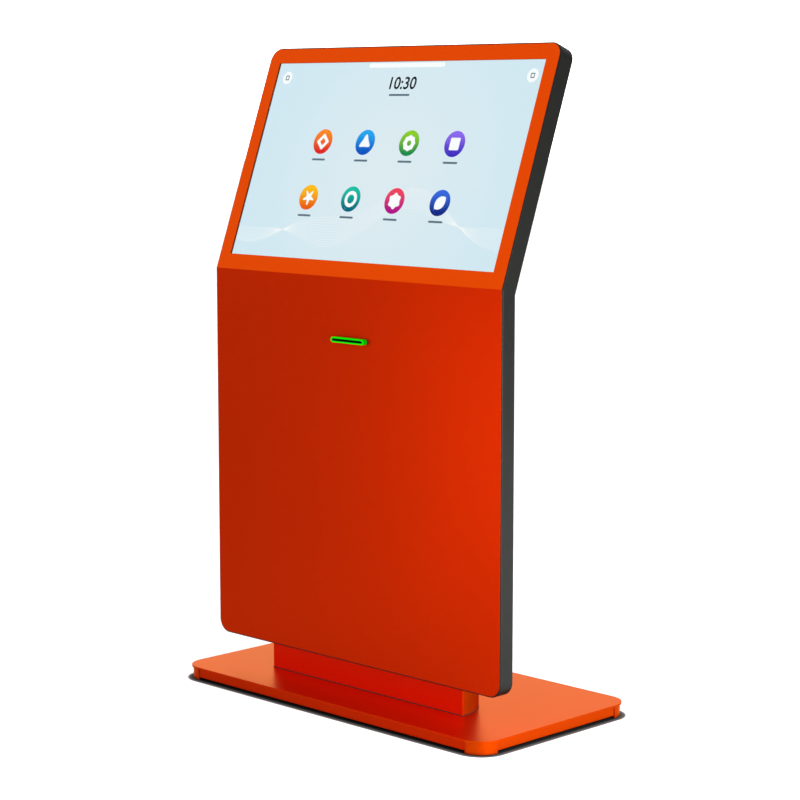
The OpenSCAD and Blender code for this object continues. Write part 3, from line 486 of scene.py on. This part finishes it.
# %% Which faces of the bezel are lit
LIT, THROAT, WALL = 0, 1, 2                  # places in the bezel's list of materials
stations = loft.shape[1]
row_of_face = np.repeat(np.arange(len(rings)), stations)
left_end = np.tile(np.arange(stations) >= stations // 2, len(rings))
outer_row, slot_row, neck_row = 1, len(rings) - 4, len(rings) - 1
bezel_skin = np.where(row_of_face > slot_row, THROAT, LIT)
bezel_skin[(row_of_face == slot_row) & left_end] = THROAT
bezel_skin[(row_of_face <= outer_row) | (row_of_face == neck_row)] = WALL
print("lit faces of the bezel:", int((bezel_skin == LIT).sum()))

# %% [markdown]
# ## The picture on the screen
# The display shows a calm home page: a pale field, a clock, a grid of round buttons with plain
# signs, and a bundle of fine wave lines. Every mark is a thin sheet that lies on the display
# cell behind the glass. A round sign comes from one polar formula, whose few numbers make a
# square, a triangle, a flower or a star.

# %% Display cell
CELL_T, CELL_MARGIN = 2.0, 1.9               # the cell reaches past the window by its margin


def on_screen(x, up, lift):
    """Points of the picture: x and up from the screen's centre, lifted off the cell."""
    s = SCREEN_LOW + SCREEN_H / 2 + up
    depth = PICTURE_DEPTH - lift
    return np.stack(np.broadcast_arrays(
        x, SLAB_Y + s * math.sin(TILT) + depth * math.cos(TILT),
        BEND_Z + s * math.cos(TILT) - depth * math.sin(TILT)), axis=-1)


picture_x = (SCREEN_W / 2 + CELL_MARGIN) * np.linspace(-1, 1, 9)[None, :]
picture_up = (SCREEN_H / 2 + CELL_MARGIN) * np.linspace(-1, 1, 7)[:, None]
picture = grid_piece("display_picture", on_screen(picture_x, picture_up, 0.0), "kiosk",
                     ["display_cell"], "screen_cell")
thicken(picture, CELL_T)
marks = {"display_picture": picture}
print("display cell:", picture_x.size, "by", picture_up.size, "points")

# %% Flat marks
FILM_T = 0.02


def film(mark):
    """Makes a mark one closed thin film: points that coincide become one pole, and the sheet
    gets a few hundredths of a millimetre towards the cell."""
    shape = bmesh.new()
    shape.from_mesh(mark.data)
    bmesh.ops.remove_doubles(shape, verts=shape.verts, dist=1e-7)
    shape.to_mesh(mark.data)
    shape.free()
    thicken(mark, FILM_T, "film")
    return mark


def flat_mark(name, outline_x, outline_up, x, up, lift, hole=0.0):
    """A flat mark about a centre: an outline, and the same outline drawn in to the hole."""
    share = np.array([hole, 1.0])[:, None]
    points = on_screen(x + share * outline_x, up + share * outline_up, lift)
    marks[name] = film(grid_piece(name, points[:, ::-1], "kiosk", slot="screen_cell", ring=True))


def round_mark(name, x, up, radius, lift, lobes=0, sharp=2.0, waist=2.0, hole=0.0, spin=0.0):
    """A mark from one polar curve, whose farthest point reaches the radius:
    (|cos(lobes t/4)|^waist + |sin(lobes t/4)|^waist) to the power -1/sharp."""
    turn = np.linspace(0, 2 * math.pi, 96, endpoint=False)
    base = np.abs(np.cos(lobes * turn / 4)) ** waist + np.abs(np.sin(lobes * turn / 4)) ** waist
    size = base ** (-1.0 / sharp)
    size = radius * size / size.max()
    flat_mark(name, size * np.cos(turn + spin), size * np.sin(turn + spin), x, up, lift, hole)


def bar_mark(name, x, up, width, height, lift):
    """A flat bar with round ends."""
    flat_mark(name, *bar_outline(width, height, steps=10), x, up, lift)


print("marks are films of", FILM_T, "mm")

# %% Buttons with signs
MARK_LIFT, SIGN_LIFT = 0.05, 0.1             # a sign lies on its button
BUTTONS_IN_ROW, BUTTON_STEP_X, BUTTON_STEP_UP, BUTTON_TOP = 4, 116.0, 112.0, 38.0
BUTTON_R, SIGN_R, CAPTION_W, CAPTION_H, CAPTION_DROP = 25.0, 16.0, 36.0, 4.0, 36.0
SIGNS = [
    # colour name, lobes, sharp, waist, hole, spin
    ("coral", 4, 12.0, 12.0, 0.45, 0.785),
    ("sky", 3, 4.5, 10.0, 0.0, 0.524),
    ("leaf", 8, 1.2, 1.6, 0.35, 0.0),
    ("violet", 4, 14.0, 14.0, 0.0, 0.0),
    ("amber", 5, 2.0, 7.0, 0.0, 0.314),
    ("teal", 0, 2.0, 2.0, 0.55, 0.0),
    ("rose", 6, 1.6, 3.0, 0.0, 0.0),
    ("navy", 2, 1.0, 1.0, 0.0, 0.785)]
for i, (hue, *curve) in enumerate(SIGNS):
    x = (i % BUTTONS_IN_ROW - (BUTTONS_IN_ROW - 1) / 2) * BUTTON_STEP_X
    up = BUTTON_TOP - i // BUTTONS_IN_ROW * BUTTON_STEP_UP
    round_mark("button_" + hue, x, up, BUTTON_R, MARK_LIFT)
    round_mark("sign_" + hue, x, up, SIGN_R, SIGN_LIFT, *curve)
    bar_mark("caption_" + hue, x, up - CAPTION_DROP, CAPTION_W, CAPTION_H, MARK_LIFT)
print("buttons:", len(SIGNS))

# %% Corner marks and bars
CORNER_X, CORNER_UP, CORNER_R, CORNER_SIGN_R = 322.0, 168.0, 13.0, 6.5
CORNER_CURVE = (4, 12.0, 12.0, 0.6)          # lobes, sharp, waist and hole of a square ring
for i, side in enumerate((-1, 1)):
    round_mark("corner_%d" % i, side * CORNER_X, CORNER_UP, CORNER_R, MARK_LIFT)
    round_mark("corner_sign_%d" % i, side * CORNER_X, CORNER_UP, CORNER_SIGN_R, SIGN_LIFT,
               *CORNER_CURVE)
bar_mark("pull_bar", x=0.0, up=191.0, width=200.0, height=9.0, lift=MARK_LIFT)
bar_mark("date_bar", x=0.0, up=132.0, width=54.0, height=4.0, lift=MARK_LIFT)
print("marks so far:", len(marks))

# %% Wave lines
WAVES, WAVE_UP, WAVE_HALF, WAVE_LIFT = 12, -128.0, 0.35, 0.03
LONG_HIGH, LONG_RUN, LONG_SHIFT = 34.0, 105.0, 0.05      # height, run per radian, shift a strand
SHORT_HIGH, SHORT_RUN, SHORT_SHIFT = 16.0, 47.0, -0.09
FAN_STEP, FAN_RUN = 3.2, 190.0               # the strands fan out and cross by this
strand = np.arange(WAVES)[:, None, None]
walk = np.linspace(-SCREEN_W / 2, SCREEN_W / 2, 161)[None, :, None]
side = np.array([-WAVE_HALF, WAVE_HALF])[None, None, :]
wave_up = (WAVE_UP + LONG_HIGH * np.sin(walk / LONG_RUN + LONG_SHIFT * strand)
           + SHORT_HIGH * np.sin(walk / SHORT_RUN + SHORT_SHIFT * strand)
           + FAN_STEP * strand * np.cos(walk / FAN_RUN) + side)
for i in range(WAVES):
    name = "wave_%02d" % i
    line = on_screen(np.repeat(walk[0], 2, axis=1).T, wave_up[i].T, WAVE_LIFT)
    marks[name] = film(grid_piece(name, line, "kiosk", slot="screen_cell"))
print("wave lines:", WAVES)

# %% [markdown]
# ## The clock
# The numbers of the clock are a text object. It becomes a mesh first, and its flat points are
# then carried onto the leaning screen by the same formula as the other marks.

# %% Clock numbers
CLOCK_UP, CLOCK_SIZE, CLOCK_WEIGHT = 144.0, 34.0, 0.55
font = bpy.data.curves.new("clock_text", "FONT")
font.body = "10:30"
font.size = CLOCK_SIZE
font.offset = CLOCK_WEIGHT
font.align_x = "CENTER"
text = bpy.data.objects.new("clock_text", font)
bpy.context.scene.collection.objects.link(text)
bpy.context.view_layer.update()
clock_mesh = bpy.data.meshes.new_from_object(text)
bpy.data.objects.remove(text)
flat = np.empty(len(clock_mesh.vertices) * 3)
clock_mesh.vertices.foreach_get("co", flat)
flat = flat.reshape(-1, 3)
leaning = on_screen(flat[:, 0], flat[:, 1] + CLOCK_UP, MARK_LIFT) * MM
clock_mesh.vertices.foreach_set("co", leaning.ravel())
clock_mesh.update()
clock = bpy.data.objects.new("clock", clock_mesh)
bpy.context.scene.collection.objects.link(clock)
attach(clock, "kiosk")
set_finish(clock, "screen_cell")
marks["clock"] = film(clock)
print("marks on the screen:", len(marks))

# %% [markdown]
# ## Helpers for materials
# Colours are written as the hex values that a designer would pick, and one function turns them
# into the linear numbers that light works with. One more function adds a shader node with its
# settings and links, and one starts a material with the constants of its shader.


# %% Colour, node and material helpers
def linear(code):
    """Hex colour to linear light: the standard curve, value by value."""
    srgb = np.array([int(code[i:i + 2], 16) for i in (1, 3, 5)]) / 255.0
    light = np.where(srgb <= 0.04045, srgb / 12.92, ((srgb + 0.055) / 1.055) ** 2.4)
    return (*light.tolist(), 1.0)


def add(tree, kind, inputs=None, **settings):
    """Adds a node, sets its settings, and fills its inputs with numbers or links."""
    node = tree.nodes.new(kind)
    for name, value in settings.items():
        setattr(node, name, value)
    for name, value in (inputs or {}).items():
        if isinstance(value, bpy.types.NodeSocket):
            tree.links.new(value, node.inputs[name])
        else:
            node.inputs[name].default_value = value
    return node


def principled(name, **sockets):
    """A new material, its node tree and its shader, with constants set on the shader's own
    sockets. A socket is named with _ for each space."""
    material = bpy.data.materials.new(name)
    material.use_nodes = True
    tree = material.node_tree
    shader = tree.nodes["Principled BSDF"]
    for socket, value in sockets.items():
        shader.inputs[socket.replace("_", " ")].default_value = value
    return material, tree, shader


print("half of the hex scale is", round(linear("#808080")[0], 3), "of the light")

# %% [markdown]
# ## The finishes
# Most of what shows is powder coat: a baked plastic skin on steel, satin, with the faint orange
# peel that the powder leaves. Real peel is about a millimetre across, too fine for a picture of
# a whole kiosk, so it is drawn a little coarser. The small parts are zinc, rubber, moulded
# plastic, board, paper and glass. They all share one build: a colour that drifts a little, and
# a fine grain that moves the gloss and the bump.

# %% Finish formula
LIT_SIDE = (1.0, -0.6, 0.6)                  # right, and a little to the front and up
LIT_TINT_STARTS, LIT_TINT_FULL = 0.62, 0.76        # dot products of a face with LIT_SIDE, where the painted tint starts and is full
GLOSS_DRIFT = 0.06                           # share by which the grain moves the roughness
GRAIN_DEPTH_MM = 0.05


def finish(name, code, roughness, metallic=0.0, grain_mm=1.5, grain=0.15, patch_mm=180.0,
           patch=0.06, stretch=(1, 1, 1), lit_tint_code=None, **sockets):
    """A finish on Object coordinates: its colour drifts a little over patches of patch_mm, and
    its surface has a fine grain of grain_mm. stretch draws the grain out along an axis. On the
    faces that look to LIT_SIDE, towards the lamps, the colour turns to lit_tint_code: painted
    light."""
    material, tree, shader = principled(name, Metallic=metallic, **sockets)
    place = add(tree, "ShaderNodeTexCoord")
    drift = add(tree, "ShaderNodeTexNoise", {"Vector": place.outputs["Object"],
                "Scale": 1 / (patch_mm * MM), "Detail": 3.0})
    deep = [c * (1 - patch) for c in linear(code)[:3]] + [1.0]
    colour = add(tree, "ShaderNodeMix", {0: drift.outputs["Fac"], 6: linear(code), 7: deep},
                 data_type="RGBA")
    # Painted light: the faces that look to LIT_SIDE get a lighter, more orange colour.
    if lit_tint_code:
        face = add(tree, "ShaderNodeNewGeometry")
        towards = add(tree, "ShaderNodeVectorMath", {0: face.outputs["Normal"], 1: LIT_SIDE},
                      operation="DOT_PRODUCT")
        painted_tint = add(tree, "ShaderNodeMapRange", {"Value": towards.outputs["Value"],
                    "From Min": LIT_TINT_STARTS, "From Max": LIT_TINT_FULL})
        colour = add(tree, "ShaderNodeMix", {0: painted_tint.outputs["Result"], 6: colour.outputs[2],
                     7: linear(lit_tint_code)}, data_type="RGBA")
    tree.links.new(colour.outputs[2], shader.inputs["Base Color"])
    drawn = add(tree, "ShaderNodeMapping", {"Vector": place.outputs["Object"], "Scale": stretch})
    fine = add(tree, "ShaderNodeTexNoise", {"Vector": drawn.outputs["Vector"],
               "Scale": 1 / (grain_mm * MM), "Detail": 2.0})
    sheen = add(tree, "ShaderNodeMapRange", {"Value": fine.outputs["Fac"],
                "To Min": roughness * (1 - GLOSS_DRIFT), "To Max": roughness * (1 + GLOSS_DRIFT)})
    tree.links.new(sheen.outputs["Result"], shader.inputs["Roughness"])
    bump = add(tree, "ShaderNodeBump", {"Height": fine.outputs["Fac"], "Strength": grain,
               "Distance": GRAIN_DEPTH_MM * MM})
    tree.links.new(bump.outputs["Normal"], shader.inputs["Normal"])
    return material


# The faces that look to LIT_SIDE get a painted, more orange colour.
print("metal flake turns to", LIT_SIDE)

# %% Painted finishes
PEEL = {"grain_mm": 2.5, "grain": 0.012}
COAT = {"roughness": 0.36, "metallic": 0.7, "Specular_Tint": linear("#FFDA90"), **PEEL}
finishes = {
    # Satin metallic powder coat: the metal mirrors the room softly in the paint's own colour, and
    # the clear resin over it only shows as a pale sheen at a flat angle. The coat is deep red; on
    # the faces turned to the lamps a more orange colour is painted in for the light on them.
    "orange_paint": finish("orange metallic powder coat", "#8E1800", lit_tint_code="#8E2800",
                           Specular_IOR_Level=0.02, **COAT),
    # A shaded copy of the same coat, on the column's front and the base plate's top, which lie in
    # the shade of the slab. Its purer, brighter red is painted light: it stands for the light
    # that the coat has coloured on its way there. Its resin shows more at the flat angle of the
    # plate.
    "shaded_paint": finish("orange metallic powder coat in the shade", "#AA1100",
                           lit_tint_code="#8E2600", Specular_IOR_Level=0.06, **COAT),
    # Plain powder coat in charcoal, flatter, so the edge reads as one dark line.
    "charcoal_paint": finish("charcoal powder coat", "#090A08", roughness=0.42,
                             Specular_IOR_Level=0.1, **PEEL)}
print("painted finishes:", len(finishes))

# %% Finishes of the small parts
finishes.update({
    # Bright zinc plate: grey metal with a faint drawn grain along the part.
    "bare_steel": finish("zinc-plated steel", "#B9BBBD", roughness=0.33, metallic=1.0,
                         grain_mm=1.0, grain=0.15, patch_mm=40.0, patch=0.18,
                         stretch=(1, 1, 0.1)),
    # Moulded rubber: near black and dull.
    "black_rubber": finish("moulded rubber", "#0D0D0D", roughness=0.75, grain_mm=0.8, grain=0.3,
                           Specular_IOR_Level=0.2),
    # Spark-grained ABS: dark, with a soft sheen.
    "black_plastic": finish("grained black ABS", "#17171A", roughness=0.5, grain_mm=0.9,
                            grain=0.3),
    # Pressed steel, plated but not polished: a darker grey metal with a broad sheen.
    "unit_grey": finish("pressed steel case", "#8C8F91", roughness=0.4, metallic=1.0,
                        grain_mm=1.2, grain=0.1),
    # Folded aluminium: paler than zinc, with its rolling grain across the part.
    "supply_case": finish("folded aluminium", "#C6C8CA", roughness=0.36, metallic=1.0,
                          grain_mm=1.0, grain=0.1, patch_mm=60.0, patch=0.1,
                          stretch=(0.1, 1, 1)),
    # Moulded acetal: milky white with a waxy sheen.
    "gear_plastic": finish("white acetal", "#E9E8E0", roughness=0.45, grain_mm=0.6, grain=0.08),
    # Solder mask over woven glass fibre: deep green lacquer with a faint weave under it.
    "circuit_board": finish("solder mask on glass fibre", "#0C4A2B", roughness=0.38,
                            grain_mm=0.7, grain=0.2),
    # Thermal paper: warm white and dull, with a trace of fibre.
    "paper": finish("coated thermal paper", "#F3F1EA", roughness=0.7, grain_mm=0.5, grain=0.2)})
print("finishes:", len(finishes))

# %% Glass and lit green
# Toughened glass with an anti-reflection coat: it mirrors far less than plain glass, so its
# index is set low.
finishes["screen_glass"] = principled("coated float glass", Base_Color=(0.97, 0.99, 0.985, 1.0),
                                      Roughness=0.02, IOR=1.03, Transmission_Weight=1.0)[0]
# Tinted polycarbonate that carries light: the lip, where the light comes out, is a saturated
# green, and the outer wall is the same plastic with less light behind it.
GREEN = {"code": "#005A00", "roughness": 0.3, "grain_mm": 2.0, "grain": 0.05,
         "Emission_Color": linear("#00E600"), "Specular_IOR_Level": 0.01}
finishes["green_plastic"] = finish("lit green polycarbonate", Emission_Strength=0.77, **GREEN)
finishes["green_wall"] = finish("green polycarbonate wall", Emission_Strength=0.22, **GREEN)
print("finishes with glass and lit green:", len(finishes))

# %% [markdown]
# ## The picture's colours
# A lit panel gives its own light. Its field is a pale blue that is lightest in a wide soft
# patch, drawn from the distance to a point near the screen's middle. Each button runs from one
# colour to another, and the other marks are single lit colours.

# %% Lit field
FIELD_X, FIELD_UP = 20.0, -30.0              # middle of the lightest patch
FIELD_NEAR_MM, FIELD_FAR_MM = 30.0, 400.0    # where its colour begins to turn, and is turned
BLACK = (0.0, 0.0, 0.0, 1.0)
field, tree, shader = principled("lit pale blue field", Base_Color=BLACK, Emission_Strength=1.0,
                                 Specular_IOR_Level=0.0)
field_middle = on_screen(np.array(FIELD_X), np.array(FIELD_UP), 0.0) * MM
place = add(tree, "ShaderNodeTexCoord")
offset = add(tree, "ShaderNodeVectorMath", {0: place.outputs["Object"],
             1: field_middle.tolist()}, operation="DISTANCE")
spread = add(tree, "ShaderNodeMapRange", {"Value": offset.outputs["Value"],
             "From Min": FIELD_NEAR_MM * MM, "From Max": FIELD_FAR_MM * MM},
             interpolation_type="SMOOTHSTEP")
pale = add(tree, "ShaderNodeMix", {0: spread.outputs["Result"], 6: linear("#DEECF2"),
           7: linear("#D3E9F3")}, data_type="RGBA")
tree.links.new(pale.outputs[2], shader.inputs["Emission Color"])
finishes["screen_cell"] = field
print("field is lightest at", np.round(field_middle, 3).tolist())


# %% Lit marks
def glow(name, code):
    """A lit mark of the display: its own light and no gloss, because the glass has the gloss."""
    return principled(name, Base_Color=BLACK, Roughness=0.9, Specular_IOR_Level=0.0,
                      Emission_Color=linear(code), Emission_Strength=1.0)[0]


def lit_blend(name, low_code, high_code, mark):
    """A lit mark whose colour runs from one at its lower edge to another at its upper edge."""
    points = np.empty(len(mark.data.vertices) * 3)
    mark.data.vertices.foreach_get("co", points)
    heights = points[2::3]
    material = glow(name, low_code)
    tree = material.node_tree
    place = add(tree, "ShaderNodeTexCoord")
    height = add(tree, "ShaderNodeSeparateXYZ", {0: place.outputs["Object"]})
    share = add(tree, "ShaderNodeMapRange", {"Value": height.outputs["Z"],
                "From Min": float(heights.min()), "From Max": float(heights.max())},
                interpolation_type="SMOOTHSTEP")
    blend = add(tree, "ShaderNodeMix", {0: share.outputs["Result"], 6: linear(low_code),
                7: linear(high_code)}, data_type="RGBA")
    tree.links.new(blend.outputs[2], tree.nodes["Principled BSDF"].inputs["Emission Color"])
    return material


HUES = {"coral": ("#E01F26", "#FF8A1F"), "sky": ("#0A4FC4", "#27A8F2"),
        "leaf": ("#0C8A4C", "#8FD02A"), "violet": ("#3D2BC0", "#8F6BF0"),
        "amber": ("#EE5A12", "#FFC21A"), "teal": ("#07677F", "#1FC0A8"),
        "rose": ("#B0148A", "#F2455C"), "navy": ("#14257F", "#3B6BE0")}
PLAIN = {"white": "#FBFDFE", "ink": "#0C1015", "grey": "#5F7484", "mist": "#F3F8FA"}
lit = {hue: lit_blend("lit " + hue, *codes, marks["button_" + hue])
       for hue, codes in HUES.items()}
lit.update({name: glow("lit " + name, code) for name, code in PLAIN.items()})
print("lit colours:", len(lit))

# %% Colours of the marks
LIT_BY_KIND = {"sign": "white", "pull": "white", "corner": "white", "clock": "ink",
               "wave": "mist", "caption": "grey", "date": "grey"}
for name, mark in marks.items():
    kind, _, rest = name.partition("_")
    if kind == "display":
        colour = field
    elif kind == "button":
        colour = lit[rest]
    elif name.startswith("corner_sign"):
        colour = lit["grey"]
    else:
        colour = lit[LIT_BY_KIND[kind]]
    mark.data.materials.append(colour)
print("marks with a colour:", len(marks))

# %% [markdown]
# ## Every piece gets its finish
# New pieces take the finish of the record's slot that they were given. The imported nodes that
# still show take theirs from the record too, and their knife edges are broken by a small bevel
# once their loose triangles are welded.

# %% Assign finishes
# The column's front and the base plate's top take the shaded copy of the coat, whose red is
# painted light; the rim of the plate keeps the plain coat.
SHADED = ("column_front", base_plate.name)   # the two that the slab stands over
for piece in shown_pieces():
    if piece.get("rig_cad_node") or piece.name in marks:
        continue
    slot_name = "shaded_paint" if piece.name in SHADED else piece.get("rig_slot", "orange_paint")
    piece.data.materials.append(finishes[slot_name])
base_plate.data.materials.append(finishes["orange_paint"])
base_plate.modifiers["gauge"].material_offset_rim = 1   # the rim stands out of the shade
bezel.data.materials.append(finishes["black_plastic"])
bezel.data.materials.append(finishes["green_wall"])
bezel.data.polygons.foreach_set("material_index", bezel_skin.astype(np.int32))

slot_of = {part["node"]: part["material_slot"] for part in frame["record"]["subparts"]}
for name, node in nodes.items():
    for slot in node.material_slots:
        slot.material = finishes["shaded_paint" if name in SHADED else slot_of[name]]

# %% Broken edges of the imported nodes
WELD_MM, NODE_SEGMENTS = 0.01, 2
BROKEN = {"column_front": 1.0, "column_back": 0.3, "column_cap": 0.5, "service_door": 0.4,
          "base_skirts": 0.5, "rear_panel": 0.5, "inlet_housing": 0.5, "lock_body": 0.5,
          "hinge_column_leaves": 0.3, "hinge_door_leaves": 0.3, "rear_screws": 0.4}
for name, width in BROKEN.items():
    nodes[name].modifiers.new("weld", "WELD").merge_threshold = WELD_MM * MM
    break_edges(nodes[name], width, NODE_SEGMENTS)
print("nodes with broken edges:", len(BROKEN))

# %% [markdown]
# ## The floor
# The kiosk stands on one even, pale, dull floor that runs to the horizon. Right under the base,
# in the gap that the feet leave, no light reaches it. That dark line is a painted shadow, drawn
# by the distance to the base's rounded outline and reaching about a centimetre past it, so that
# it also holds in a picture with few samples.

# %% Floor
FLOOR_HALF, FLOOR_SHADE = 30.0, 0.86         # metres, and the share of light that it gives back
GAP_SHADE, RIM_SHADE = 0.01, 0.10            # the painted shadow at its inside and its outside
GAP_IN, GAP_OUT = -6.0, 8.0                  # millimetres past the base's outline
RIM_IN, RIM_OUT = 5.5, 10.5
floor_mesh = bpy.data.meshes.new("floor")
floor_corners = [(FLOOR_HALF * sx, FLOOR_HALF * sy, 0)
                 for sx, sy in ((-1, -1), (1, -1), (1, 1), (-1, 1))]
floor_mesh.from_pydata(floor_corners, [], [(0, 1, 2, 3)])
floor = bpy.data.objects.new("floor", floor_mesh)
bpy.context.scene.collection.objects.link(floor)
floor_finish, tree, shader = principled("pale studio floor", Roughness=0.9,
                                        Specular_IOR_Level=0.0)
place = add(tree, "ShaderNodeTexCoord").outputs["Object"]
quadrant = add(tree, "ShaderNodeVectorMath", {0: place}, operation="ABSOLUTE")
past = add(tree, "ShaderNodeVectorMath", {0: quadrant.outputs[0], 1: (
    (BASE_W / 2 - BASE_R) * MM, (BASE_D / 2 - BASE_R) * MM, 0.0)}, operation="SUBTRACT")
outside = add(tree, "ShaderNodeVectorMath", {0: past.outputs[0], 1: (0.0, 0.0, 0.0)},
              operation="MAXIMUM")
reach = add(tree, "ShaderNodeVectorMath", {0: outside.outputs[0]}, operation="LENGTH")
under = add(tree, "ShaderNodeMapRange", {"Value": reach.outputs["Value"],
            "From Min": (BASE_R + GAP_IN) * MM, "From Max": (BASE_R + GAP_OUT) * MM,
            "To Min": GAP_SHADE, "To Max": RIM_SHADE})
rim = add(tree, "ShaderNodeMapRange", {"Value": reach.outputs["Value"],
          "From Min": (BASE_R + RIM_IN) * MM, "From Max": (BASE_R + RIM_OUT) * MM,
          "To Max": FLOOR_SHADE})
shade = add(tree, "ShaderNodeMath", {0: under.outputs["Result"], 1: rim.outputs["Result"]},
            operation="MAXIMUM")
tree.links.new(shade.outputs[0], shader.inputs["Base Color"])
floor_mesh.materials.append(floor_finish)
print("floor of", 2 * FLOOR_HALF, "m")

# %% [markdown]
# ## The room
# A studio with a bright ceiling and quiet walls, where the floor sweeps up into the wall without
# a corner. The upright front mirrors the quiet wall and stays deep in colour. The leaning head
# mirrors a lit panel high on the left and comes out lighter. The wall behind the kiosk is lit
# as a backdrop, and the base plate picks up its pale sheen. All of it is worked out from the
# direction alone, so no edge of a lamp shows in the glass.

# %% Room
WALL_LIGHT, CEILING_LIGHT, SWEEP_LIGHT = 0.30, 1.29, 0.85
CEILING_FROM, CEILING_TO = 0.22, 0.55        # heights of a direction of length 1
SWEEP_FROM, SWEEP_TO = 0.03, 0.13
LIT_PATCHES = [
    # middle of the patch, dot product where it starts and where it is full, brightness
    ((-0.7071, 0.7071, 0.0), 0.86, 0.95, 2.58),
    ((-0.66, -0.59, 0.465), 0.82, 0.97, 3.8)]
world = bpy.data.worlds.new("white room")
bpy.context.scene.world = world
world.use_nodes = True
tree = world.node_tree
place = add(tree, "ShaderNodeTexCoord").outputs["Generated"]
height = add(tree, "ShaderNodeSeparateXYZ", {0: place})
ceiling = add(tree, "ShaderNodeMapRange", {"Value": height.outputs["Z"],
              "From Min": CEILING_FROM, "From Max": CEILING_TO, "To Min": WALL_LIGHT,
              "To Max": CEILING_LIGHT}, interpolation_type="SMOOTHSTEP")
sweep = add(tree, "ShaderNodeMapRange", {"Value": height.outputs["Z"], "From Min": SWEEP_FROM,
            "From Max": SWEEP_TO, "To Min": SWEEP_LIGHT, "To Max": 0.0},
            interpolation_type="SMOOTHSTEP")
room = add(tree, "ShaderNodeMath", {0: ceiling.outputs["Result"], 1: sweep.outputs["Result"]},
           operation="MAXIMUM")
for middle, starts, full, brightness in LIT_PATCHES:
    towards = add(tree, "ShaderNodeVectorMath", {0: place, 1: middle}, operation="DOT_PRODUCT")
    patch = add(tree, "ShaderNodeMapRange", {"Value": towards.outputs["Value"],
                "From Min": starts, "From Max": full, "To Max": brightness},
                interpolation_type="SMOOTHSTEP")
    room = add(tree, "ShaderNodeMath", {0: room.outputs[0], 1: patch.outputs["Result"]},
               operation="MAXIMUM")
tree.links.new(room.outputs[0], tree.nodes["Background"].inputs["Strength"])
tree.nodes["Background"].inputs["Color"].default_value = (1.0, 1.0, 1.0, 1.0)
print("room with a bright ceiling and", len(LIT_PATCHES), "lit patches")

# %% [markdown]
# ## The lights
# Three soft boxes, all below the screen, so the glass mirrors none of them. One on the right
# lights the faces turned that way, and a low one beside the base lights the skirts and the lower
# part of the dark frame. One in front is mirrored at the body's right edge, so the colour grows
# from left to right.

# %% Lights
SOFT_LIGHTS = [
    # name, place, target, width and height in metres, power in watts
    ("right_soft_light", (1.6, -0.36, 0.52), (0.3, -0.13, 0.3), 1.0, 0.95, 74.0),
    ("low_side_light", (1.75, 0.75, 0.12), (0.4, 0.05, 0.1), 0.6, 0.2, 9.0),
    ("front_soft_light", (-0.5, -1.4, 0.32), (0.35, -0.13, 0.32), 0.6, 0.85, 5.2)]
for name, stand, target, width, height, watts in SOFT_LIGHTS:
    box = bpy.data.lights.new(name, "AREA")
    box.shape = "RECTANGLE"
    box.size = width
    box.size_y = height
    box.energy = watts
    lamp = bpy.data.objects.new(name, box)
    lamp.location = stand
    lamp.rotation_euler = (Vector(target) - Vector(stand)).to_track_quat("-Z", "Y").to_euler()
    bpy.context.scene.collection.objects.link(lamp)
print("soft lights:", len(SOFT_LIGHTS))
